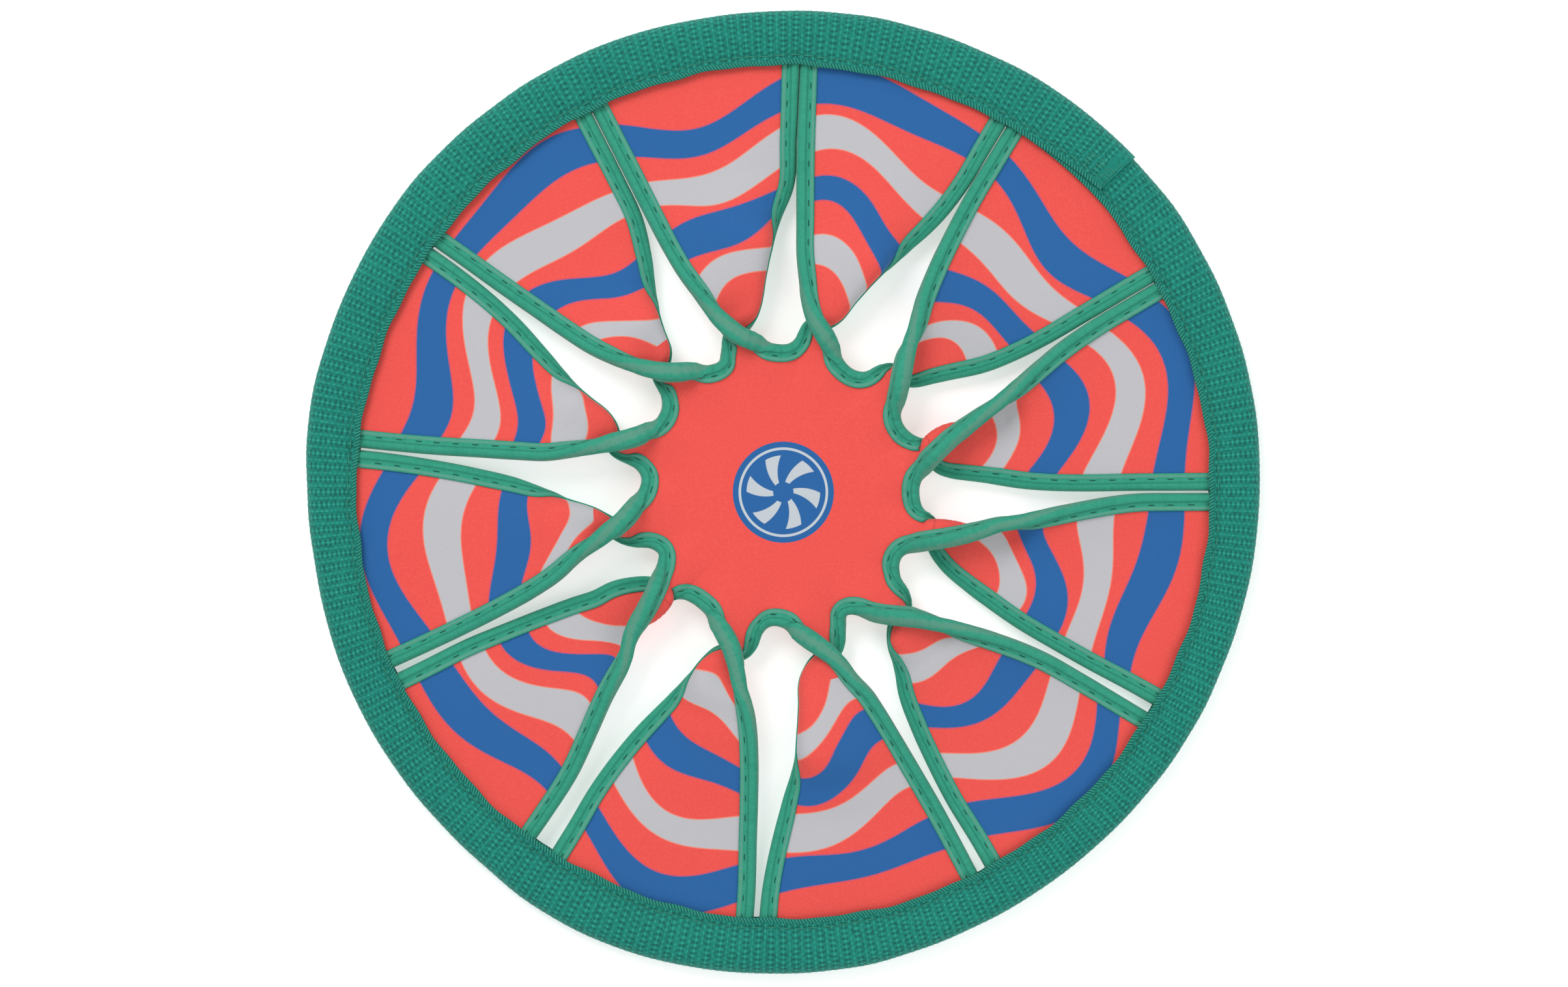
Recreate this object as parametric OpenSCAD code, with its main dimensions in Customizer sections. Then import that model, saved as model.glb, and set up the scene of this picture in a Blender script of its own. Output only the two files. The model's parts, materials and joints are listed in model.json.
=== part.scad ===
// Flying ring: a soft star-shaped panel with twelve half-twisted vanes, bound
// slots, and a webbing-covered rim hoop.
// Origin: spin axis, in the plane the rim rests on. +Z up, away from that plane.

/* [Ring] */
// Outside diameter of the finished ring
ring_d = 300; // [288:1:312]
// Clock position of the first slot, in degrees past twelve o'clock
slot_clock = 2.9; // [0:0.1:29.9]

/* [Panel] */
// Foam thickness of the laminated panel
core_t = 2.0; // [1.6:0.1:2.2]
// Thickness of each knit face bonded to the foam
knit_t = 0.35; // [0.25:0.05:0.4]
// Distance from the spin axis to the hub end of each slot, at the sheet's cut edge
slot_end_r = 45.3; // [44.5:0.1:45.7]
// Finished width of a vane's neck, where it stands on edge
neck_w = 12.2; // [11.4:0.1:12.6]
// Height of the hub's middle plane above the resting plane
hub_z = 8.0; // [7.8:0.1:9]

/* [Slot binding] */
// Thickness of the binding strip
tape_t = 0.65; // [0.5:0.05:0.75]
// Depth of the binding's flap, from the sheet's edge
flap_w = 4.6; // [4:0.1:4.8]
// Distance between stitches on a binding
stitch_pitch = 6.1; // [5:0.1:8]
// Length of each visible stitch
stitch_len = 2.6; // [2:0.1:3.2]
// Diameter of the sewing thread
thread_d = 0.5; // [0.4:0.05:0.6]

/* [Rim] */
// Flat width of the webbing before it is folded over the rim
webbing_w = 38; // [37:0.5:39]
// Thickness of the webbing
webbing_t = 1.3; // [1.1:0.05:1.4]
// Thickness of the hoop inside the webbing
hoop_t = 5.8; // [5.4:0.1:6]
// Width of the hoop inside the webbing, across the rim
hoop_w = 10.0; // [9:0.1:10.4]
// Bore of the hollow hoop
hoop_bore_d = 3.2; // [2.6:0.1:3.4]
// Length of the plug that joins the hoop's ends
joiner_len = 30; // [20:1:40]
// Clock position of the webbing's lap, in degrees past twelve o'clock
lap_clock = 44; // [0:1:359]
// Length of the webbing's lap, along the rim
lap_len = 22; // [18:1:26]
// Rim stitches in one turn
rim_stitch_n = 144; // [96:4:160]

/* [Hidden] */

vane_n = 12;
pitch_a = 360 / vane_n;
R = ring_d / 2;
gap = 0.03;                                   // clearance between bonded or sewn layers
sheet_t = core_t + 2 * (knit_t + gap);        // laminate thickness
half_slit = sheet_t / 2 + tape_t + 0.1;       // half height of the webbing's mouth
rim_t = hoop_t + 2 * (webbing_t + gap);       // rim thickness over the hoop
rim_z = rim_t / 2;                            // middle plane of the rim
end_r = rim_t / 2;                            // outside radius of the webbing's fold
fold_c = R - end_r;                           // centre of the fold in the rim's section
face_w = webbing_w / 2 - (PI / 2 - 1) * end_r;  // radial width of the webbing's face
mouth_r = R - face_w;                         // inner edge of the webbing
hoop_ro = R - webbing_t - gap;                // outer edge of the hoop
hoop_ri = hoop_ro - hoop_w;                   // inner edge of the hoop
panel_r = hoop_ri - 1.0;                      // where the vane tips end, under the webbing
bind_r = panel_r - 0.6;                       // where the bindings end, under the webbing

// Tilt of a vane's cross line against the resting plane, by distance from the axis.
// 180 at the hub and 0 at the rim: every vane makes a half turn between them.
TILT = [[slot_end_r, 180], [46.8, 161], [48.5, 134], [51, 90], [54, 62], [58, 45],
        [63, 33], [70, 23], [80, 14.5], [92, 8.5], [106, 4], [122, 1], [131, 0], [200, 0]];
// Half width of a vane's sheet, by distance from the axis
HALF = [[slot_end_r, slot_end_r * PI / vane_n], [slot_end_r + 0.5, slot_end_r * PI / vane_n - 2.3],
        [46.8, 8.1], [48.5, neck_w / 2 + 0.7], [51, neck_w / 2], [54, neck_w / 2 + 0.6],
        [58, 9.1], [63, 11.8], [70, 15.2], [80, 19.4], [92, 23.0], [106, 26.7],
        [122, 30.9], [panel_r, panel_r * PI / vane_n - tape_t - 0.35]];
// Rise of a vane's middle line above the rim's middle plane
RISE = [[slot_end_r, hub_z - rim_z], [51, hub_z - rim_z + 0.3], [58, hub_z - rim_z + 0.6],
        [70, hub_z - rim_z + 0.2], [80, 3.3], [92, 2.3], [106, 1.1], [122, 0.2], [131, 0], [200, 0]];
// Crown of a vane across its width
CROWN = [[slot_end_r, 0], [51, 0], [58, 0.5], [70, 1.2], [92, 1.3], [122, 0.4], [131, 0], [200, 0]];

// Rows of the sheet's grid, from the hub's slot ends to the vane tips
ROWS = [slot_end_r + 0.5, 46.8, 48.5, 51, 54, 58, 63, 70, 80, 92, 106, 122, panel_r];
HUB_ROWS = [20, 34, slot_end_r - flap_w + 0.2, slot_end_r];
COLS = 2;

function slot_a(j) = 90 - slot_clock + j * pitch_a;
function vane_a(k) = slot_a(k) + pitch_a / 2;
function half_w(u) = u <= slot_end_r ? u * PI / vane_n : lookup(u, HALF);
function tilt(u) = u <= slot_end_r ? 180 : lookup(u, TILT);
function rise(u) = u <= slot_end_r ? hub_z : rim_z + lookup(u, RISE);
function crown(u) = u <= slot_end_r ? 0 : lookup(u, CROWN);
function polar(u, a, z) = [u * cos(a), u * sin(a), z];

// Middle surface of the sheet: vane k, distance u from the axis, place v across (-1 to 1)
function mid(k, u, v) =
    let (t = tilt(u), y = v * half_w(u), b = crown(u) * (1 - abs(v)))
    polar(u, vane_a(k) + (y * cos(t) - b * sin(t)) / u * 180 / PI,
          rise(u) + y * sin(t) + b * cos(t));
function unit(a) = a / norm(a);
// Normal of the middle surface: up at the rim, down at the hub
function nrm(k, u, v) = u <= slot_end_r + 0.01 ? [0, 0, -1] :
    let (e = 0.2, w = abs(v) < 0.03 ? 0 : sign(v) * 0.05)
    unit(cross(mid(k, u + e, v) - mid(k, u - e, v),
               w == 0 ? mid(k, u, 0.05) - mid(k, u, -0.05)
                      : (mid(k, u, v) - mid(k, u, v - w)) * sign(v)));

// A star-shaped layer of the sheet between heights d0 and d1 above its middle surface
module star_layer(d0, d1) {
    n = vane_n * COLS;
    H = len(HUB_ROWS);
    M = len(ROWS);
    W = COLS + 1;
    // points of one face
    function face(d) = concat(
        [[0, 0, hub_z - d]],
        [for (u = HUB_ROWS, m = [0 : n - 1]) polar(u, slot_a(0) + m * 360 / n, hub_z - d)],
        [for (k = [0 : vane_n - 1], u = ROWS, c = [0 : COLS])
            let (v = 1 - 2 * c / COLS) mid(k, u, v) + d * nrm(k, u, v)]);
    count = 1 + H * n + vane_n * M * W;
    function hub_i(i, m) = 1 + i * n + m % n;
    function arm_i(k, i, c) = i < 0 ? hub_i(H - 1, k * COLS + c) : 1 + H * n + (k * M + i) * W + c;
    // quads and fans of the upper face, as triangles
    upper = concat(
        [for (m = [0 : n - 1]) [0, hub_i(0, m), hub_i(0, m + 1)]],
        [for (i = [0 : H - 2], m = [0 : n - 1], h = [0, 1])
            h == 0 ? [hub_i(i, m), hub_i(i + 1, m), hub_i(i + 1, m + 1)]
                   : [hub_i(i, m), hub_i(i + 1, m + 1), hub_i(i, m + 1)]],
        [for (k = [0 : vane_n - 1], i = [-1 : M - 2], c = [0 : COLS - 1], h = [0, 1])
            h == 0 ? [arm_i(k, i, c), arm_i(k, i + 1, c), arm_i(k, i + 1, c + 1)]
                   : [arm_i(k, i, c), arm_i(k, i + 1, c + 1), arm_i(k, i, c + 1)]]);
    lower = [for (t = upper) [t[2] + count, t[1] + count, t[0] + count]];
    function wall(a, b) = [[a, b, b + count], [a, b + count, a + count]];
    walls = [for (k = [0 : vane_n - 1]) each concat(
        [for (i = [-1 : M - 2]) each wall(arm_i(k, i + 1, 0), arm_i(k, i, 0))],
        [for (i = [-1 : M - 2]) each wall(arm_i(k, i, COLS), arm_i(k, i + 1, COLS))],
        [for (c = [0 : COLS - 1]) each wall(arm_i(k, M - 1, c + 1), arm_i(k, M - 1, c))])];
    polyhedron(concat(face(d1), face(d0)), concat(upper, lower, walls), convexity = 12);
}

// Edge path of slot j: vane j's upper edge from the rim inward, round the slot's
// hub end, then vane j-1's lower edge outward. Each entry is [vane, u, side].
B_ROWS = concat([for (u = ROWS) if (u < panel_r) u], [bind_r]);
function edge_path(j) = concat(
    [for (i = [len(B_ROWS) - 1 : -1 : 0]) [j, B_ROWS[i], 1]],
    [[j, slot_end_r, 1]],
    [for (u = B_ROWS) [j - 1, u, -1]]);
// Slope of a vane's flat edge, d(half width)/du
function flare(u) = u <= slot_end_r + 0.001 ? -1000 :
    (half_w(u + 0.3) - half_w(max(slot_end_r, u - 0.3))) / (u + 0.3 - max(slot_end_r, u - 0.3));
// A point on the middle surface, d inward from the sheet's edge, and the normal there
function inset(s, d) =
    s[1] <= slot_end_r + 0.001 ? [polar(slot_end_r - d, slot_a(s[0]), hub_z), [0, 0, -1]] :
    let (f = flare(s[1]), q = sqrt(1 + f * f),
         u = min(panel_r, s[1] + d * f / q), y = half_w(s[1]) - d / q,
         v = s[2] * max(0.02, min(1, y / half_w(u))))
    [mid(s[0], u, v), nrm(s[0], u, v)];
function edge_point(s) = s[1] <= slot_end_r + 0.001 ? polar(slot_end_r, slot_a(s[0]), hub_z)
                                                    : mid(s[0], s[1], s[2]);

// One folded strip round the edge of slot j
module binding(j) {
    path = edge_path(j);
    L = len(path);
    P = [for (s = path) edge_point(s)];
    N = [for (s = path) nrm(s[0], s[1], s[2])];
    T = [for (i = [0 : L - 1]) unit(P[min(L - 1, i + 1)] - P[max(0, i - 1)])];
    E = [for (i = [0 : L - 1]) unit(cross(T[i], N[i]))];
    b0 = sheet_t / 2 + gap;
    b1 = b0 + tape_t;
    // outer and inner point pairs round the fold: [outward, height]
    OUT = [[0.0, b1], [tape_t + 0.1, b1 * 0.42], [tape_t + 0.1, -b1 * 0.42], [0.0, -b1]];
    INN = [[-0.1, b0], [0.08, b0 * 0.5], [0.08, -b0 * 0.5], [-0.1, -b0]];
    function at(i, p) = P[i] + p[0] * E[i] + p[1] * N[i];
    function flap(i, b) = let (f = inset(path[i], flap_w)) f[0] + b * f[1];
    pts = [for (i = [0 : L - 1]) each concat(
        [flap(i, b1)], [for (p = OUT) at(i, p)], [flap(i, -b1)],
        [flap(i, -b0)], [for (q = [3 : -1 : 0]) at(i, INN[q])], [flap(i, b0)])];
    n = 12;
    sides = [for (i = [0 : L - 2], p = [0 : n - 1], h = [0, 1])
        let (a = i * n + p, b = i * n + (p + 1) % n)
        h == 0 ? [a, a + n, b + n] : [a, b + n, b]];
    function cap(o, flip) = [for (p = [0 : 4], h = [0, 1])
        let (a = o + p, b = o + p + 1, c = o + n - 2 - p, d = o + n - 1 - p,
             t = h == 0 ? [a, b, c] : [a, c, d])
        flip ? [t[2], t[1], t[0]] : t];
    polyhedron(pts, concat(sides, cap(0, false), cap((L - 1) * n, true)), convexity = 8);
}

// A round rod from p to q
module rod(p, q, d) {
    w = q - p;
    translate(p) rotate([0, acos(w[2] / norm(w)), atan2(w[1], w[0])])
        cylinder(h = norm(w), d = d, $fn = 16);
}

// The stitches of slot j, on both faces of the binding
module slot_thread(j) {
    path = edge_path(j);
    L = len(path);
    d = flap_w * 0.6;
    F = [for (s = path) inset(s, d)];
    Q = [for (f = F) f[0]];
    S = [for (i = 0, a = 0; i < L; i = i + 1, a = i < L ? a + norm(Q[i] - Q[i - 1]) : 0) a];
    function seg(s) = len([for (x = S) if (x <= s) 1]) - 1;
    function on(s, h) = let (i = min(L - 2, seg(s)), t = (s - S[i]) / (S[i + 1] - S[i]))
        Q[i] * (1 - t) + Q[i + 1] * t + h * unit(F[i][1] * (1 - t) + F[i + 1][1] * t);
    top = sheet_t / 2 + gap + tape_t + thread_d / 2 + 0.05;
    first = 4.5;
    count = floor((S[L - 1] - first - 3) / stitch_pitch);
    for (m = [0 : count - 1], h = [top, -top])
        rod(on(first + m * stitch_pitch, h), on(first + m * stitch_pitch + stitch_len, h), thread_d);
}

// Half section of the rim, outside and inside of the folded webbing
module rim_outside(o = 0) {
    translate([fold_c, rim_z]) circle(r = end_r - o, $fn = 96);
    polygon([[hoop_ri - 0.4, rim_z - end_r + o], [fold_c, rim_z - end_r + o],
             [fold_c, rim_z + end_r - o], [hoop_ri - 0.4, rim_z + end_r - o],
             [mouth_r, rim_z + half_slit + webbing_t - o], [mouth_r, rim_z - half_slit - webbing_t + o]]);
}
module rim_inside(o = 0) {
    r = end_r - webbing_t;
    translate([fold_c, rim_z]) circle(r = r - o, $fn = 96);
    polygon([[hoop_ri - 0.2, rim_z - r + o], [fold_c, rim_z - r + o],
             [fold_c, rim_z + r - o], [hoop_ri - 0.2, rim_z + r - o],
             [panel_r, rim_z + half_slit], [mouth_r - 1, rim_z + half_slit],
             [mouth_r - 1, rim_z - half_slit], [panel_r, rim_z - half_slit]]);
}
lap_a0 = 90 - lap_clock - lap_len / R * 90 / PI;
lap_a = lap_len / R * 180 / PI;
tuck_t = 0.9;                                  // pressed thickness of the tucked end
rim_stitch_r = mouth_r + 3;                    // radius of the rim's stitch row
// height of the webbing's face at the stitch row, from the rim's middle plane
rim_stitch_h = half_slit + webbing_t
    + (end_r - half_slit - webbing_t) * 3 / (hoop_ri - 0.4 - mouth_r);

// Folded strip: its tail tucks under its own end at the lap
module rim_webbing() color([0.10, 0.48, 0.42]) {
    difference() {
        rotate_extrude($fn = 180) difference() {
            rim_outside();
            rim_inside();
            // the stitches pull into the webbing
            for (s = [1, -1]) translate([rim_stitch_r, rim_z + s * rim_stitch_h])
                circle(d = thread_d + 0.08, $fn = 24);
        }
        // end of the outer layer
        rotate([0, 0, lap_a0]) rotate_extrude(angle = 0.16, $fn = 180)
            translate([mouth_r - 2, -1]) square([face_w + 4, rim_t + 2]);
    }
    // tucked tail
    rotate([0, 0, lap_a0 - 0.9]) rotate_extrude(angle = lap_a, $fn = 180) difference() {
        intersection() {
            rim_inside(0.04);
            translate([panel_r + 0.8, 0]) square([30, 30]);
        }
        rim_inside(tuck_t);
    }
    // where the tail comes out from under the end
    rotate([0, 0, lap_a0 - 0.9]) rotate_extrude(angle = 0.7, $fn = 180) difference() {
        intersection() {
            rim_outside(0.3);
            translate([hoop_ri, 0]) square([30, 30]);
        }
        rim_inside(tuck_t - 0.2);
    }
}

module hoop_section(o = 0) {
    r = hoop_t / 2 - o;
    translate([hoop_ro - hoop_t / 2, rim_z]) circle(r = r, $fn = 96);
    translate([hoop_ri + 1.6, rim_z]) intersection() {
        circle(r = r + 0.4, $fn = 96);
        translate([-1.6, -r]) square([1.7, 2 * r]);
    }
    translate([hoop_ri + 1.6, rim_z - r]) square([hoop_w - hoop_t / 2 - 1.6, 2 * r]);
}
joint_a = 90 - lap_clock + 180;

// Hollow springy hoop with its two ends butted, pressed thinner under the lap
module rim_hoop() color([0.16, 0.17, 0.18]) difference() {
    rotate_extrude($fn = 180) difference() {
        hoop_section();
        translate([hoop_ro - hoop_t / 2, rim_z]) circle(d = hoop_bore_d, $fn = 48);
    }
    rotate([0, 0, joint_a - 0.1]) rotate_extrude(angle = 0.2, $fn = 180)
        translate([hoop_ri - 2, 0]) square([hoop_w + 4, rim_t]);
    rotate([0, 0, lap_a0 - 1.2]) rotate_extrude(angle = lap_a + 0.6, $fn = 180) difference() {
        translate([hoop_ri - 2, -1]) square([hoop_w + 6, rim_t + 2]);
        hoop_section(tuck_t + 0.05);
    }
}

// Plug pressed into both ends of the hoop
module hoop_joiner() color([0.75, 0.75, 0.72])
    rotate([0, 0, joint_a - joiner_len / R * 90 / PI])
        rotate_extrude(angle = joiner_len / R * 180 / PI, $fn = 180)
            translate([hoop_ro - hoop_t / 2, rim_z]) circle(d = hoop_bore_d - 0.06, $fn = 48);

// Stitches near the webbing's inner edge, on both faces
module rim_thread() color([0.20, 0.55, 0.48]) {
    for (m = [0 : rim_stitch_n - 1], s = [1, -1])
        rotate([0, 0, m * 360 / rim_stitch_n]) rotate_extrude(angle = 360 / rim_stitch_n * 0.72, $fn = 180)
            translate([rim_stitch_r, rim_z + s * rim_stitch_h]) circle(d = thread_d, $fn = 16);
}

// Short rows that close the webbing's lap, on the upper face
module lap_thread() color([0.20, 0.55, 0.48])
    for (a = [0.9, 2.4], i = [0 : 3])
        rod(polar(fold_c - 1 - i * 1.9, lap_a0 + a, rim_t + thread_d / 2 + 0.03),
            polar(fold_c - 2.4 - i * 1.9, lap_a0 + a, rim_t + thread_d / 2 + 0.03), thread_d);

module foam_core() color([0.93, 0.91, 0.86]) star_layer(-core_t / 2, core_t / 2);
module face_knit() color([0.94, 0.36, 0.33]) star_layer(-core_t / 2 - gap - knit_t, -core_t / 2 - gap);
module back_knit() color([0.94, 0.36, 0.33]) star_layer(core_t / 2 + gap, core_t / 2 + gap + knit_t);
module slot_binding(j) color([0.22, 0.60, 0.52]) binding(j);
module slot_stitching(j) color([0.03, 0.30, 0.24]) slot_thread(j);

foam_core();
face_knit();
back_knit();
slot_binding(0);  // slot_binding_01
slot_binding(1);  // slot_binding_02
slot_binding(2);  // slot_binding_03
slot_binding(3);  // slot_binding_04
slot_binding(4);  // slot_binding_05
slot_binding(5);  // slot_binding_06
slot_binding(6);  // slot_binding_07
slot_binding(7);  // slot_binding_08
slot_binding(8);  // slot_binding_09
slot_binding(9);  // slot_binding_10
slot_binding(10);  // slot_binding_11
slot_binding(11);  // slot_binding_12
slot_stitching(0);  // slot_thread_01
slot_stitching(1);  // slot_thread_02
slot_stitching(2);  // slot_thread_03
slot_stitching(3);  // slot_thread_04
slot_stitching(4);  // slot_thread_05
slot_stitching(5);  // slot_thread_06
slot_stitching(6);  // slot_thread_07
slot_stitching(7);  // slot_thread_08
slot_stitching(8);  // slot_thread_09
slot_stitching(9);  // slot_thread_10
slot_stitching(10);  // slot_thread_11
slot_stitching(11);  // slot_thread_12
rim_webbing();
rim_hoop();
hoop_joiner();
rim_thread();
lap_thread();
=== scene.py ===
"""Flying ring: a foam panel cut into twelve vanes, twelve bound slots, and a stiff hoop in a sewn webbing rim.

Units are metres in the CAD frame. Clock angles run clockwise from +Y, in degrees; lengths inside the script are mm.
"""
import json
import math
import bpy
import numpy as np
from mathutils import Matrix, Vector
from mathutils.bvhtree import BVHTree

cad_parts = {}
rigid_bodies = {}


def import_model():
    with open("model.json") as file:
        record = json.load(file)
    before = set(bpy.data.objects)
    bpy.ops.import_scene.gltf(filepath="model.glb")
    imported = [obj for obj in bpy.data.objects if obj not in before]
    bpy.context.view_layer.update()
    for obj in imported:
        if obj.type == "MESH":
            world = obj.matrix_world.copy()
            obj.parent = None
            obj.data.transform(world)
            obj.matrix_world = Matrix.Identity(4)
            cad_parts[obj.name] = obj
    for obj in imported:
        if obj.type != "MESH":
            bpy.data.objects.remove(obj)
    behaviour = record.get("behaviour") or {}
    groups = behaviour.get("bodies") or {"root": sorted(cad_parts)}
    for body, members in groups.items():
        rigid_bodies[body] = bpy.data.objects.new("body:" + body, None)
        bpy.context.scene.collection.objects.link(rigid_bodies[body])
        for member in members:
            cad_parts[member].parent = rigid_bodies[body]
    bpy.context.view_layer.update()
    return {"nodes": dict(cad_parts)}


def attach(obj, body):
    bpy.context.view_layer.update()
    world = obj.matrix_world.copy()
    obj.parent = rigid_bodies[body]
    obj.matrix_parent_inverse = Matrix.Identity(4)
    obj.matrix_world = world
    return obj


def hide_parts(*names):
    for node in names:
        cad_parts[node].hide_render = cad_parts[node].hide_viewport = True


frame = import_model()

rng = np.random.default_rng(7)
nodes = frame["nodes"]

# ---------------------------------------------------------------- measured layout of this ring
RR = [46, 48, 50, 52, 54, 56, 60, 65, 70, 75, 80, 85, 90, 95, 100, 110, 120, 128]
# slot angle, hub end (angle, radius), then both sides of the opening as angles from the slot at the radii RR
SLOTS = [
 (333.0, (333.8, 45.2), [-2.4, -7.3, -10.1, -10.4, -10.2, -9.9, -9.2, -7.9, -6.4, -4.9, -3.3, -2.0, -1.0, -0.2, 0.1, 0.2, 0.2, 0.2],
  [0.6, 3.1, 4.6, 5.5, 6.6, 6.0, 3.9, 2.5, 1.4, 1.0, 0.6, 0.4, 0.3, 0.3, 0.3, 0.3, 0.3, 0.3]),
 (1.8, (1.2, 46.0), [-3.0, -7.1, -10.3, -9.7, -9.2, -8.5, -7.5, -6.3, -5.3, -4.3, -3.3, -2.1, -0.9, 0.3, 0.4, 0.4, 0.4, 0.4],
  [0.0, 2.0, 3.5, 4.4, 5.2, 4.8, 3.6, 2.4, 1.8, 1.2, 1.0, 0.9, 0.7, 0.6, 0.5, 0.4, 0.4, 0.4]),
 (31.5, (29.0, 44.0), [-8.4, -10.4, -10.8, -10.7, -10.6, -10.2, -10.2, -9.3, -8.0, -6.5, -5.0, -3.7, -2.5, -1.5, -0.8, -0.2, -0.2, -0.2],
  [2.3, 5.3, 7.2, 8.1, 7.4, 6.9, 5.8, 4.5, 3.4, 2.4, 1.7, 1.1, 0.7, 0.4, 0.2, -0.1, -0.1, -0.1]),
 (61.3, (62.0, 42.9), [-7.3, -8.5, -9.6, -10.6, -10.0, -8.6, -6.7, -4.7, -2.8, -1.6, -1.0, -0.7, -0.5, -0.4, -0.5, -0.6, -0.7, -0.8],
  [6.1, 7.1, 7.8, 8.4, 8.7, 8.5, 7.7, 6.1, 4.9, 3.7, 2.6, 1.8, 1.1, 0.4, 0.1, -0.5, -0.6, -0.7]),
 (90.5, (90.8, 42.5), [-6.5, -7.7, -7.4, -6.5, -5.4, -4.8, -3.7, -2.6, -1.9, -1.2, -0.9, -0.7, -0.6, -0.6, -0.6, -0.7, -0.7, -0.7],
  [7.0, 7.4, 7.8, 7.7, 7.8, 7.9, 7.9, 7.1, 5.7, 4.5, 3.5, 2.4, 1.6, 1.0, 0.4, -0.3, -0.4, -0.4]),
 (120.5, (121.9, 42.6), [-5.7, -6.8, -7.3, -5.8, -4.7, -3.8, -2.4, -1.7, -1.1, -0.8, -0.5, -0.2, -0.2, -0.2, -0.2, -0.3, -0.5, -0.6],
  [5.5, 7.9, 10.0, 10.2, 9.5, 8.6, 7.6, 6.6, 5.0, 3.8, 2.7, 2.0, 1.4, 0.9, 0.7, 0.6, 0.6, 0.6]),
 (152.5, (153.5, 42.8), [-5.6, -7.2, -8.8, -10.3, -9.2, -8.2, -6.3, -4.3, -2.6, -1.6, -1.1, -0.7, -0.5, -0.3, -0.2, -0.2, -0.5, -0.8],
  [3.6, 4.6, 5.6, 6.5, 6.6, 5.9, 4.8, 3.6, 2.8, 2.3, 1.9, 1.6, 1.4, 1.1, 0.9, 0.6, 0.5, 0.4]),
 (183.5, (185.0, 41.9), [-8.7, -9.2, -8.7, -8.5, -8.3, -7.9, -7.6, -7.1, -6.7, -6.3, -5.9, -5.2, -4.3, -3.5, -2.7, -1.5, -0.7, -0.2],
  [5.8, 7.4, 8.1, 10.0, 10.4, 9.6, 7.4, 5.1, 3.4, 2.7, 2.1, 1.7, 1.5, 1.2, 1.1, 0.8, 0.5, 0.5]),
 (214.5, (218.0, 45.1), [-4.3, -7.3, -9.8, -10.0, -10.0, -9.6, -8.6, -7.2, -5.6, -4.4, -3.4, -2.7, -2.1, -1.7, -1.4, -1.2, -1.4, -1.6],
  [8.0, 9.1, 9.2, 9.2, 9.0, 8.8, 8.2, 7.4, 6.8, 6.1, 5.5, 4.7, 3.9, 3.1, 2.5, 1.4, 1.1, 1.0]),
 (245.5, (243.5, 43.2), [-5.1, -6.2, -7.0, -6.5, -5.5, -4.8, -3.7, -3.0, -2.3, -1.8, -1.5, -1.1, -0.9, -0.7, -0.5, -0.3, -0.4, -0.6],
  [2.5, 4.3, 5.3, 7.3, 8.4, 7.9, 6.6, 4.9, 3.9, 2.9, 2.0, 1.4, 1.1, 0.8, 0.6, 0.4, 0.3, 0.3]),
 (275.5, (275.4, 44.3), [-4.8, -7.5, -9.3, -11.0, -11.2, -10.4, -9.1, -7.3, -5.7, -4.1, -2.9, -2.1, -1.5, -1.1, -0.7, -0.2, 0.1, 0.2],
  [3.0, 4.6, 5.7, 6.6, 7.3, 7.6, 5.8, 3.8, 2.6, 1.9, 1.6, 1.3, 1.1, 1.0, 0.8, 0.6, 0.5, 0.5]),
 (304.5, (304.5, 46.0), [-5.1, -8.4, -10.5, -10.8, -10.3, -9.8, -9.0, -8.0, -7.0, -6.0, -4.7, -3.7, -2.7, -1.7, -1.2, -0.2, 0.2, 0.3],
  [0.7, 3.0, 4.2, 5.5, 6.4, 6.8, 4.6, 2.2, 1.2, 0.8, 0.6, 0.5, 0.5, 0.5, 0.5, 0.5, 0.6, 0.6]),
]
# crest of each raised edge beside the hub, from the hub end of the slot to where it leaves the crossing, in mm
HUB_A = [
 [(0.6, 45.2), (-2.8, 45.5), (-6.2, 46.2), (-9.6, 47.3), (-13.4, 49.2), (-17.1, 51.8), (-20.5, 54.6)],
 [(21, 37.7), (18.6, 40), (16.4, 43.5), (14.2, 47.1), (11.5, 50.9), (9.1, 54.5), (7.5, 58.3)],
 [(37.2, 19.8), (35.8, 22.9), (35.9, 26.6), (36.8, 30.3), (37.7, 34.9), (38.5, 40.1), (39.3, 45.1), (40.5, 50)],
 [(41.6, -0.6), (41.7, 2.3), (42.9, 5), (45.5, 8.1), (48.9, 11.5), (52.3, 15.1), (56.1, 18.5), (60.2, 21.9)],
 [(35.3, -22.3), (35.9, -20.2), (37.6, -18.6), (40.6, -17.6), (45.1, -16.8), (50.4, -15.9), (55.7, -14.6), (61.7, -12.7)],
 [(18.6, -37.8), (21, -37.2), (24.8, -38), (30, -39.1), (35.3, -39.6), (40.6, -40.1), (46.6, -41)],
 [(-3.9, -40.8), (-0.5, -41.2), (2.5, -42.7), (5.9, -44.6), (9.7, -47), (14.2, -50.1), (18.3, -53.5), (22.1, -58)],
 [(-27.3, -34.4), (-24.7, -36.5), (-22, -39.5), (-19.4, -43.3), (-17.3, -47), (-15.9, -51.2), (-14.7, -55.7), (-13.5, -61)],
 [(-37.8, -19), (-38.3, -21.7), (-39.3, -24.8), (-40.5, -28.2), (-42.3, -32.3), (-44.3, -36.8), (-47, -42.1)],
 [(-43.3, 4.2), (-43.9, 1.3), (-45.6, -1.7), (-48.1, -5.1), (-51.1, -8.5), (-54.5, -11.9), (-58.3, -15.7), (-62.8, -19.5)],
 [(-37.1, 26), (-38.1, 23.5), (-40.2, 21), (-43.2, 19.2), (-47, 17.7), (-51.5, 16.2), (-56.8, 14.5), (-62.1, 13)],
 [(-19.1, 40.1), (-21.3, 39.2), (-24.3, 38.6), (-28.5, 38.1), (-32.6, 37.9), (-37.1, 37.9), (-41.7, 38.4), (-47, 39.4)],
]
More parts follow.
